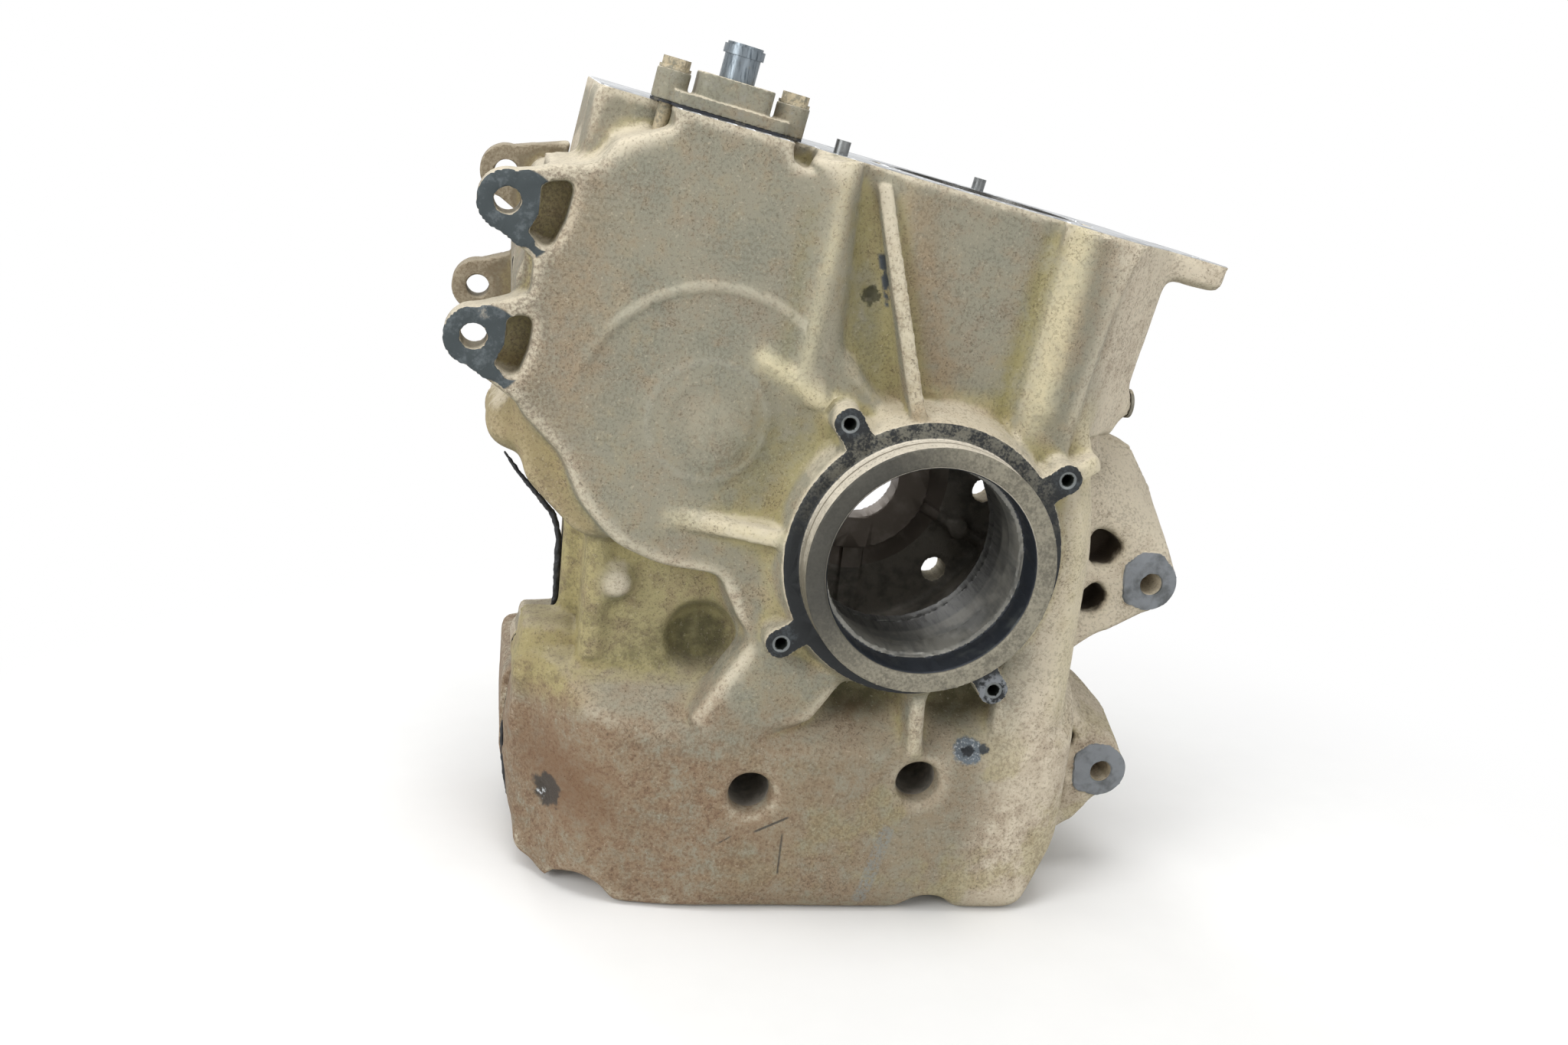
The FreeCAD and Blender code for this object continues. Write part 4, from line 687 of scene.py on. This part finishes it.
def spigot(f):
    """Turned ring, paler on its upper side from dust and painted highlight, with a face darker towards the
    upper left.
    """
    ring = f.step(f.r, LAND_EDGE + 0.5, LAND_EDGE) * f.step(f.y, LAND + 1, LAND + 0.4)
    # upper side paler: dust, with painted highlight
    dusted_and_lit = f.step(f.z + (f.mottle - 0.5) * 30, -16, 34) * f.step(f.fine, 0.2, 0.5)
    f.lay(ring, f.mix(tone(98, 93, 78), tone(206, 198, 182), dusted_and_lit), 0.62 + f.fine * 0.2, 0.15)
    f.lay(ring * f.between(f.y, 8.2, 9.4, 0.4), tone(120, 112, 96), 0.6, 0.2)
    face = f.step(f.y, 0.9, 0.5) * f.step(f.r, RING + 1, RING + 0.6)
    # face darker towards the upper left
    dark_upper_left = f.step(f.away(f.x, f.z, -48, 18) + (f.mottle - 0.5) * 40, 74, 34)
    turned = f.two_tone(tone(136, 131, 115), tone(102, 98, 86), f.fine * 0.5 + f.mottle * 0.5, 0.4, 0.62)
    f.lay(face, f.mix(turned, tone(58, 57, 52), dark_upper_left * 0.92), 0.5 + f.fine * 0.25, 0.3)


def ear_shape(f):
    """1 on the land round the ring, on its ears and on their webs."""
    shape = f.step(f.r, LAND_EDGE + 1, LAND_EDGE + 0.4)
    for p, q in TAPS:
        turn = math.atan2(q, p)
        along = f.x * math.cos(turn) + f.z * math.sin(turn)
        aside = f.z * math.cos(turn) - f.x * math.sin(turn)
        web = f.step(abs(aside), EAR_WEB, EAR_WEB - 0.4) * f.between(along, 55, 69, 0.3)
        ear = f.step(f.away(f.x, f.z, p, q), TAP_EAR + 0.4, TAP_EAR)
        shape = shape.high(web).high(ear)
    return shape


def ringed_land(f):
    """Machined land with its tapped ears, slate grey where the dust is off; the tapped holes are darkened
    with painted shade.
    """
    fine, mottle, r = f.fine, f.mottle, f.r
    land = f.between(f.y, LAND - 0.7, LAND + 0.6, 0.1) * f.step(r, RING, RING + 0.6) * ear_shape(f)
    dry = f.step(f.z + (f.scuff - 0.5) * 50, 5, 60) * f.step(r, 64, 60)
    dry = dry * f.step(fine * 0.5 + mottle * 0.5, 0.42, 0.58)
    rubbed = f.step(fine * 0.4 + mottle * 0.6, 0.46, 0.64) * f.step(r, 59, 63)
    slate = f.mix(tone(24, 27, 29), tone(58, 63, 66), rubbed)
    f.lay(land, f.mix(slate, tone(124, 121, 108), dry * 0.65), 0.4 + fine * 0.3, 0.3)
    pale_ear = f.step(f.away(f.x, f.z, *TAPS[3]), 9, 6) * f.step(mottle, 0.44, 0.54)
    f.lay(land * pale_ear, tone(128, 132, 136), 0.45 + fine * 0.3, 0.5)
    for p, q in TAPS:
        away = f.away(f.x, f.z, p, q)
        f.lay(f.step(away, 3.9, 3.6) * f.between(f.y, 13, 14.8, 0.1), tone(112, 116, 116), 0.4, 0.6)
        # painted shade inside the tapped holes
        f.lay(f.step(away, 2.9, 2.7) * f.between(f.y, 14.4, 34, 0.1), tone(34, 38, 34), 0.5, 0.3)


def lug_eyes(f):
    """Rubbed faces of the two front lugs."""
    face = f.between(f.y, GEAR_FACE - 0.7, GEAR_FACE + 0.6, 0.1)
    eyes = f.rounds(EYES, LUG_EYE + 0.5, LUG_EYE - 0.5) * face
    steel = f.two_tone(tone(60, 67, 69), tone(88, 95, 98), f.fine * 0.3 + f.mottle * 0.7, 0.48, 0.66)
    f.lay(eyes, steel, 0.5 + f.fine * 0.2, 0.4, dust=0.1)


def crank_bore(f):
    """Seal seat darkened with painted shade, then the turned bore behind it, dull towards its end."""
    wall = f.step(f.r, MOUTH, MOUTH - 0.6)
    # painted shade on the wall of the seal seat
    seal_seat_shade = f.two_tone(tone(36, 40, 46), tone(66, 70, 70), f.scuff, 0.5, 0.7)
    f.lay(wall * f.between(f.y, 0.9, 16.4), seal_seat_shade, 0.42 + f.fine * 0.15, 0.4)
    band = f.cloud(1.6, 3, stretch=(1, 0.12, 1))
    bore = wall * f.between(f.y, 15.6, BORE_END)
    turned = f.two_tone(tone(138, 136, 128), tone(104, 104, 100), f.scuff * 0.75 + band * 0.25, 0.4, 0.64)
    f.lay(bore, turned, 0.4 + f.fine * 0.1, 0.45)
    dull = f.two_tone(tone(92, 92, 88), tone(66, 66, 64), band, 0.45, 0.6)
    f.lay(bore * f.step(f.y, 44, 47), dull, 0.42, 0.4)


def discs_and_deck(f):
    """Machined discs of the mounts and the milled deck."""
    face = f.between(f.y, MOUNT_FACE - 0.7, MOUNT_FACE + 0.7, 0.1)
    discs = f.rounds(MOUNTS, MOUNT_DISC, MOUNT_DISC - 0.4) * face
    dull = f.two_tone(tone(124, 128, 132), tone(90, 93, 94), f.mottle * 0.4 + f.scuff * 0.6, 0.44, 0.62)
    f.lay(discs, dull, 0.5 + f.fine * 0.2, 0.4)
    height = f.x * math.sin(LEAN) + f.z * math.cos(LEAN)
    milled = f.two_tone(tone(150, 153, 156), tone(200, 203, 206), f.scuff, 0.35, 0.7)
    f.lay(f.step(height, DECK - 0.5, DECK - 0.15), milled, 0.22 + f.fine * 0.2, 0.9)


def marks(f):
    """Bare metal in knocks and scratches, rubbed stripes, rust, and painted shade in the pockets behind the
    mounts.
    """
    fine, y = f.fine, f.y
    f.lay(f.spot(GOUGE, 7.0, 0.45, 3.2), f.two_tone(tone(92, 100, 106), BARE, fine, 0.5, 0.7), 0.4, 0.5)
    f.lay(f.spot(GOUGE, 3.4, 0.7, 2.2), tone(30, 34, 38), 0.5, 0.3)
    f.lay(f.spot(GOUGE_TAIL, 2.6, 0.5, 1.8), tone(62, 66, 68), 0.5, 0.4)
    smear = f.away(f.x + f.z * 0.5, f.z, RUST_SMEAR[0] + RUST_SMEAR[1] * 0.5, RUST_SMEAR[1])
    rust = f.step(smear + (f.scuff - 0.5) * 16, 34, 4) * f.between(y, 20, 70)
    f.lay(rust * 0.7, tone(104, 76, 52), 0.9, 0.0)
    f.lay(f.spot((-147, 50, -127), 8.5, 0.9, 7.0) * 0.85, tone(40, 40, 38), 0.7, 0.1)
    glint = f.two_tone(tone(70, 76, 82), tone(216, 220, 222), fine, 0.4, 0.48)
    f.lay(f.spot((-151, 53, -130), 3.6, 0.6, 2.0), glint, 0.4, 0.4)
    f.lay(f.spot(CRATER, 4.2, 0.8, 3.2) * 0.8, tone(48, 48, 32), 0.8, 0.1)
    for start, end, half, _ in SCRATCHES:
        f.lay(f.stripe(start, end, half * 0.8) * 0.8, tone(48, 48, 46), 0.6, 0.2)
    drip = f.stripe((3.1, 22, -127.3), (-5.7, 23, -166.6), 3.2) * f.step(fine, 0.35, 0.6)
    f.lay(drip * 0.7, tone(128, 132, 128), 0.5, 0.4)
    rub = f.stripe((-28.5, 35.8, 123), (-23.2, 35, 102), 2.6) * f.step(f.mottle, 0.36, 0.5)
    f.lay(rub, tone(72, 78, 84), 0.45, 0.4)
    # painted shade in the pockets behind the mounts
    for place in WINDOW_PITS:
        f.lay(f.spot(place, 17, 0.3, 6.0) * f.step(y, 61, 65), tone(64, 54, 42), 0.85, 0.0)


def rear_faces(f):
    """Machined faces of the rear half and the dirt behind its lugs."""
    mottle, scuff, fine = f.mottle, f.scuff, f.fine
    rim = f.two_tone(tone(112, 114, 112), tone(156, 158, 156), mottle, 0.4, 0.65)
    f.lay(f.step(f.y, REAR_RIM - 0.7, REAR_RIM - 0.3), rim, 0.4 + fine * 0.25, 0.7, dust=0.4)
    bore = f.step(f.r, REAR_BORE + 0.2, REAR_BORE - 0.4)
    behind = f.step(f.y, REAR_BORE_FACE - 1, REAR_BORE_FACE - 0.4)
    brown = f.two_tone(tone(120, 110, 100), tone(142, 134, 124), scuff, 0.45, 0.7)
    f.lay(bore * behind, brown, 0.45 + fine * 0.2, 0.35)
    for p, q in LUGS:
        dirt = f.step(f.away(f.x, f.z, p + 6, q), 26, 20) * f.between(f.y, 148, REAR_LUG_OUTER)
        f.lay(dirt * 0.6, tone(104, 90, 66), 0.9, 0.0)
    discs = f.rounds(MOUNTS, REAR_MOUNT_DISC + 0.2, REAR_MOUNT_DISC - 0.2)
    discs = discs * f.between(f.y, REAR_MOUNT_FACE - 0.7, REAR_MOUNT_FACE + 0.7, 0.1)
    eyes = f.rounds(EYES, LUG_EYE + 0.5, LUG_EYE - 0.5)
    eyes = eyes * f.step(f.y, REAR_LUG_OUTER - 0.6, REAR_LUG_OUTER - 0.2)
    seats = f.rounds(CASE_BOLTS, BOLT_ROOM + 0.2, BOLT_ROOM - 0.1)
    seats = seats * f.between(f.y, BOLT_SEAT - 0.6, BOLT_SEAT + 0.6, 0.1)
    steel = f.two_tone(tone(84, 90, 94), tone(136, 140, 142), mottle, 0.4, 0.65)
    f.lay(discs.high(eyes).high(seats), steel, 0.42 + fine * 0.25, 0.6, dust=0.4)


def casting(name, front):
    """Material of one half: dust over its skin, what was machined, rubbed or stained on it, and painted shade
    and highlight.
    """
    f = Casting(name)
    if front:
        rooms(f, chamber_end=200, sump_start=74.5)
        for lay_part in (gear_rings, spigot, ringed_land, lug_eyes, crank_bore, discs_and_deck, marks):
            lay_part(f)
    else:
        rooms(f, chamber_end=148.5, sump_start=60)
        rear_faces(f)
    return f.finish(f.color, f.rough, f.metal, f.grain(f.height * (1 - f.attribute("worked") * 0.85), 0.4))


def road_dirt(name, tint, rough, metal, dust, size=4.0):
    """Worn metal of a tint with dust caught on it."""
    f = Finish(name)
    mottle, fine = f.cloud(size, 4, 0.6), f.cloud(0.6, 3, 0.6, shift=5.0)
    color, dusty_rough, height = dusty(f)
    up = f.split(f.normal)[2]
    darker = [c * 0.55 for c in tint[:3]] + [1.0]
    worn = f.two_tone(tint, darker, mottle, 0.45, 0.75)
    cover = f.step(mottle * 0.7 + fine * 0.3 + up * 0.12, 0.78 - dust * 0.6, 0.92 - dust * 0.55)
    rough = (rough + fine * 0.2) * (1 - cover) + dusty_rough * cover
    bump = f.grain(height * (0.2 + cover * 0.8), 0.2)
    return f.finish(f.mix(worn, color, cover), rough, (1 - cover) * metal, bump)


def plated(name):
    """Bright plated tube with fine scratches and a little tarnish."""
    f = Finish(name)
    drawn = f.cloud(0.9, 3, 0.6, stretch=(1, 1, 0.12))
    tarnish = f.step(f.cloud(5, 4, shift=9.0), 0.6, 0.75) * 0.5
    color = f.two_tone(tone(118, 126, 132), tone(76, 84, 90), drawn, 0.45, 0.7)
    color = f.mix(color, tone(120, 108, 84), tarnish)
    return f.finish(color, 0.24 + drawn * 0.3, 0.9 - tarnish, f.grain(drawn, 0.05))


def rubbery(name):
    """Black sealant."""
    f = Finish(name)
    lumpy, dust = f.cloud(2.5, 3), f.cloud(7, 4, shift=3.0)
    color = f.mix(tone(22, 24, 28), tone(78, 72, 60), f.step(dust, 0.56, 0.72) * 0.5)
    return f.finish(color, 0.38 + dust * 0.3, 0.0, f.grain(lumpy, 0.4))


def fibre(name):
    """Gasket board."""
    f = Finish(name)
    fine, dust = f.cloud(0.7, 3, 0.7), f.cloud(6, 4, shift=3.0)
    color = f.two_tone(tone(38, 40, 46), tone(92, 88, 76), fine * 0.4 + dust * 0.6, 0.5, 0.66)
    return f.finish(color, 0.75 + fine * 0.15, 0.0, f.grain(fine, 0.1))


def honed(name):
    """Cylinder liner with fine honing marks."""
    f = Finish(name)
    hone = f.cloud(0.5, 2, stretch=(1, 1, 0.6))
    stain = f.cloud(18, 4, shift=4.0)
    color = f.two_tone(tone(118, 118, 116), tone(84, 82, 78), hone * 0.5 + stain * 0.5, 0.42, 0.62)
    return f.finish(color, 0.25 + hone * 0.2, 0.85, f.grain(hone, 0.05))


MATERIALS = {
    "front": casting("dusty_front_casting", True),
    "rear": casting("dusty_rear_casting", False),
    "outlet": road_dirt("dusty_outlet_alloy", tone(140, 138, 126), 0.6, 0.3, 0.75),
    "dusty_steel": road_dirt("dusty_bolt_steel", tone(182, 170, 144), 0.55, 0.4, 0.55, 2.5),
    "bolt": road_dirt("stained_bolt_steel", tone(112, 112, 108), 0.42, 0.8, 0.35),
    "plug": road_dirt("stained_plug_steel", tone(128, 124, 112), 0.42, 0.8, 0.35),
    "washer": road_dirt("washer_alloy", tone(160, 160, 156), 0.4, 0.8, 0.25),
    "dowel": road_dirt("ground_dowel_steel", tone(120, 122, 122), 0.3, 0.9, 0.08, 2.0),
    "nipple": plated("plated_nipple_steel"),
    "sealant": rubbery("black_sealant"),
    "gasket": fibre("gasket_board"),
    "liner": honed("honed_liner_iron"),
}


def coat(piece, finish):
    piece.data.materials.clear()
    piece.data.materials.append(MATERIALS[finish])


# Pieces

front = cast_skin("front_case", 1.25, 44, machined_front, firm_front, front=True)
coat(front, "front")
rear = cast_skin("rear_case", 1.25, 16, machined_rear, firm_rear)
coat(rear, "rear")
outlet = cast_skin("outlet_housing", 0.5, 3, grain=0.4, limit=60000)
coat(outlet, "outlet")

CARRIED = {
    "case_sealant": ("sealant", "sealant"),
    "cylinder_liner": ("liner", "liner_iron"),
    "outlet_gasket": ("gasket", "gasket"),
    "outlet_nipple": ("nipple", "nipple_steel"),
    "outlet_bolt_left": ("dusty_steel", "dusty_steel"),
    "outlet_bolt_right": ("dusty_steel", "dusty_steel"),
    "deck_dowel_left": ("dowel", "dowel_steel"),
    "deck_dowel_right": ("dowel", "dowel_steel"),
    "joint_sleeve_low": ("dowel", "dowel_steel"),
    "joint_sleeve_high": ("dowel", "dowel_steel"),
    "drain_washer": ("washer", "washer_alloy"),
    "drain_plug": ("plug", "plug_steel"),
    "gallery_plug": ("plug", "plug_steel"),
}
for number in range(1, 9):
    CARRIED[f"case_bolt_{number}"] = ("bolt", "bolt_steel")
for node, (finish, slot) in CARRIED.items():
    coat(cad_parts[node], finish)


def squeezed_bead(name, route):
    """Sealant pressed out of the joint: a lumpy strand whose radius follows the route."""
    strand = bpy.data.curves.new(name, "CURVE")
    strand.dimensions = "3D"
    strand.bevel_depth = 1.0 * MM
    strand.bevel_resolution = 4
    strand.use_fill_caps = True
    strand.resolution_u = 10
    spline = strand.splines.new("NURBS")
    spline.points.add(len(route) - 1)
    spline.order_u = 3
    spline.use_endpoint_u = True
    for point, (x, y, z, radius) in zip(spline.points, route):
        point.co = (x * MM, y * MM, z * MM, 1)
        point.radius = radius
    mesh = with_modifier(mesh_of(object_from(strand, name)), "REMESH", mode="VOXEL", voxel_size=0.35 * MM)
    points, normals = read_points(mesh), read_normals(mesh)
    places = [Vector(p) for p in points]
    lift = np.array([0.45 * noise.noise(p / 3.2) + 0.2 * noise.noise(p / 1.3) for p in places])
    write_points(mesh, points + normals * lift[:, None])
    mesh.shade_smooth()
    piece = object_from(mesh, name)
    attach(piece, "root")
    coat(piece, "sealant")


squeezed_bead(
    "sealant_bead_upper",
    [
        (-173.5, 91, 16, 0.4),
        (-170.8, 90.6, 12.4, 0.9),
        (-166.2, 90.2, 6.6, 1.0),
        (-160.4, 90, 0.2, 1.1),
        (-154.6, 90, -6.2, 1.3),
        (-149.6, 90, -12, 1.5),
        (-147.2, 90, -22, 1.3),
        (-147.2, 90, -34, 1.6),
        (-146.6, 90, -48, 1.4),
        (-147.6, 90.5, -57.5, 1.5),
        (-152.5, 91, -61.0, 1.2),
        (-160.5, 91, -61.8, 0.9),
    ],
)
squeezed_bead(
    "sealant_bead_lower",
    [
        (-167, 90.3, -112, 0.6),
        (-166.5, 90.2, -120, 1.2),
        (-165.3, 90.2, -132, 1.3),
        (-163.4, 90.2, -146, 1.2),
        (-160.5, 90.2, -154, 0.8),
    ],
)


# Floor, light and camera

WORLD_LIGHT = 0.55
FLOOR_FADE = (250, 520)
SENSOR_WIDTH = 36.0
PHOTO_WIDTH, FOCAL_LENGTH = 2048, 2036.5
CAMERA_PLACE = Vector((-185.6, -580.3, 195.9))
CAMERA_AHEAD = Vector((0.1959, 0.9377, -0.2870))
CAMERA_RIGHT = Vector((0.9792, -0.1709, 0.1098))


def direct_ray(tree):
    """Socket that is 1 for rays from the camera, off gloss and through glass."""
    path = tree.nodes.new("ShaderNodeLightPath")
    socket = path.outputs["Is Camera Ray"]
    for kind in ("Is Glossy Ray", "Is Transmission Ray"):
        either = tree.nodes.new("ShaderNodeMath")
        either.operation = "MAXIMUM"
        tree.links.new(socket, either.inputs[0])
        tree.links.new(path.outputs[kind], either.inputs[1])
        socket = either.outputs[0]
    return socket


def pale_floor():
    """Floor that fades into the white background away from the part and keeps the part's shadow."""
    shape = bmesh.new()
    bmesh.ops.create_circle(shape, cap_ends=True, segments=96, radius=6.0)
    bmesh.ops.translate(shape, verts=shape.verts, vec=(0, 0.08, FOOT * MM - 0.0001))
    mesh = bpy.data.meshes.new("floor")
    shape.to_mesh(mesh)
    shape.free()
    floor = object_from(mesh, "floor")
    f = Finish("pale_floor")
    paper = f.cloud(30, 2)
    f.finish(f.mix(tone(238, 238, 237), tone(243, 243, 242), paper), 0.85 + paper * 0.05)
    far = f.step((f.x * f.x + f.y * f.y) ** 0.5, *FLOOR_FADE) * Wire(f, direct_ray(f.tree))
    glow = f.tree.nodes.new("ShaderNodeEmission")
    glow.inputs["Strength"].default_value = 1.0
    blend = f.tree.nodes.new("ShaderNodeMixShader")
    output = next(n for n in f.tree.nodes if n.type == "OUTPUT_MATERIAL")
    f.tree.links.new(far.socket, blend.inputs[0])
    f.tree.links.new(f.shader.outputs[0], blend.inputs[1])
    f.tree.links.new(glow.outputs[0], blend.inputs[2])
    f.tree.links.new(blend.outputs[0], output.inputs["Surface"])
    mesh.materials.append(f.material)


def studio_world():
    """Even light, behind which a direct ray sees white."""
    world = bpy.data.worlds.new("studio")
    bpy.context.scene.world = world
    world.use_nodes = True
    tree = world.node_tree
    tree.nodes.clear()
    blend = tree.nodes.new("ShaderNodeMixShader")
    tree.links.new(direct_ray(tree), blend.inputs[0])
    for slot, strength in ((1, WORLD_LIGHT), (2, 1.0)):
        sky = tree.nodes.new("ShaderNodeBackground")
        sky.inputs["Color"].default_value = (1, 1, 1, 1)
        sky.inputs["Strength"].default_value = strength
        tree.links.new(sky.outputs[0], blend.inputs[slot])
    output = tree.nodes.new("ShaderNodeOutputWorld")
    tree.links.new(blend.outputs[0], output.inputs["Surface"])


def soft_box(name, place, aim, size, power):
    """Round lamp at a place, in metres, turned to what it is aimed at."""
    lamp = bpy.data.lights.new(name, "AREA")
    lamp.shape = "DISK"
    lamp.size = size
    lamp.energy = power
    turn = (Vector(aim) - Vector(place)).to_track_quat("-Z", "Y")
    object_from(lamp, name).matrix_world = Matrix.Translation(place) @ turn.to_matrix().to_4x4()


def photo_camera():
    """Camera where the photographer's was, worked out from the ring and the plane faces."""
    data = bpy.data.cameras.new("photo_view")
    data.sensor_fit = "HORIZONTAL"
    data.sensor_width = SENSOR_WIDTH
    data.lens = FOCAL_LENGTH / PHOTO_WIDTH * SENSOR_WIDTH
    data.clip_start = 0.01
    data.clip_end = 50.0
    ahead = CAMERA_AHEAD.normalized()
    right = (CAMERA_RIGHT - ahead * CAMERA_RIGHT.dot(ahead)).normalized()
    turn = Matrix((right, right.cross(ahead), -ahead)).transposed()
    camera = object_from(data, "photo_view")
    camera.matrix_world = Matrix.Translation(CAMERA_PLACE * MM) @ turn.to_4x4()
    bpy.context.scene.camera = camera


pale_floor()
studio_world()
soft_box("overhead", (-0.1, -0.2, 1.35), (-0.03, 0.08, 0.0), 0.8, 9.5)
soft_box("left_key", (-1.35, -0.85, 0.75), (-0.03, 0.05, 0.0), 0.8, 15.0)
soft_box("front_fill", (0.6, -1.6, 0.5), (-0.03, 0.05, 0.0), 1.0, 5.0)
soft_box("back_fill", (-0.5, 1.6, 0.9), (-0.03, 0.1, 0.0), 1.0, 9.0)

photo_camera()
bpy.context.scene.view_settings.view_transform = "Standard"
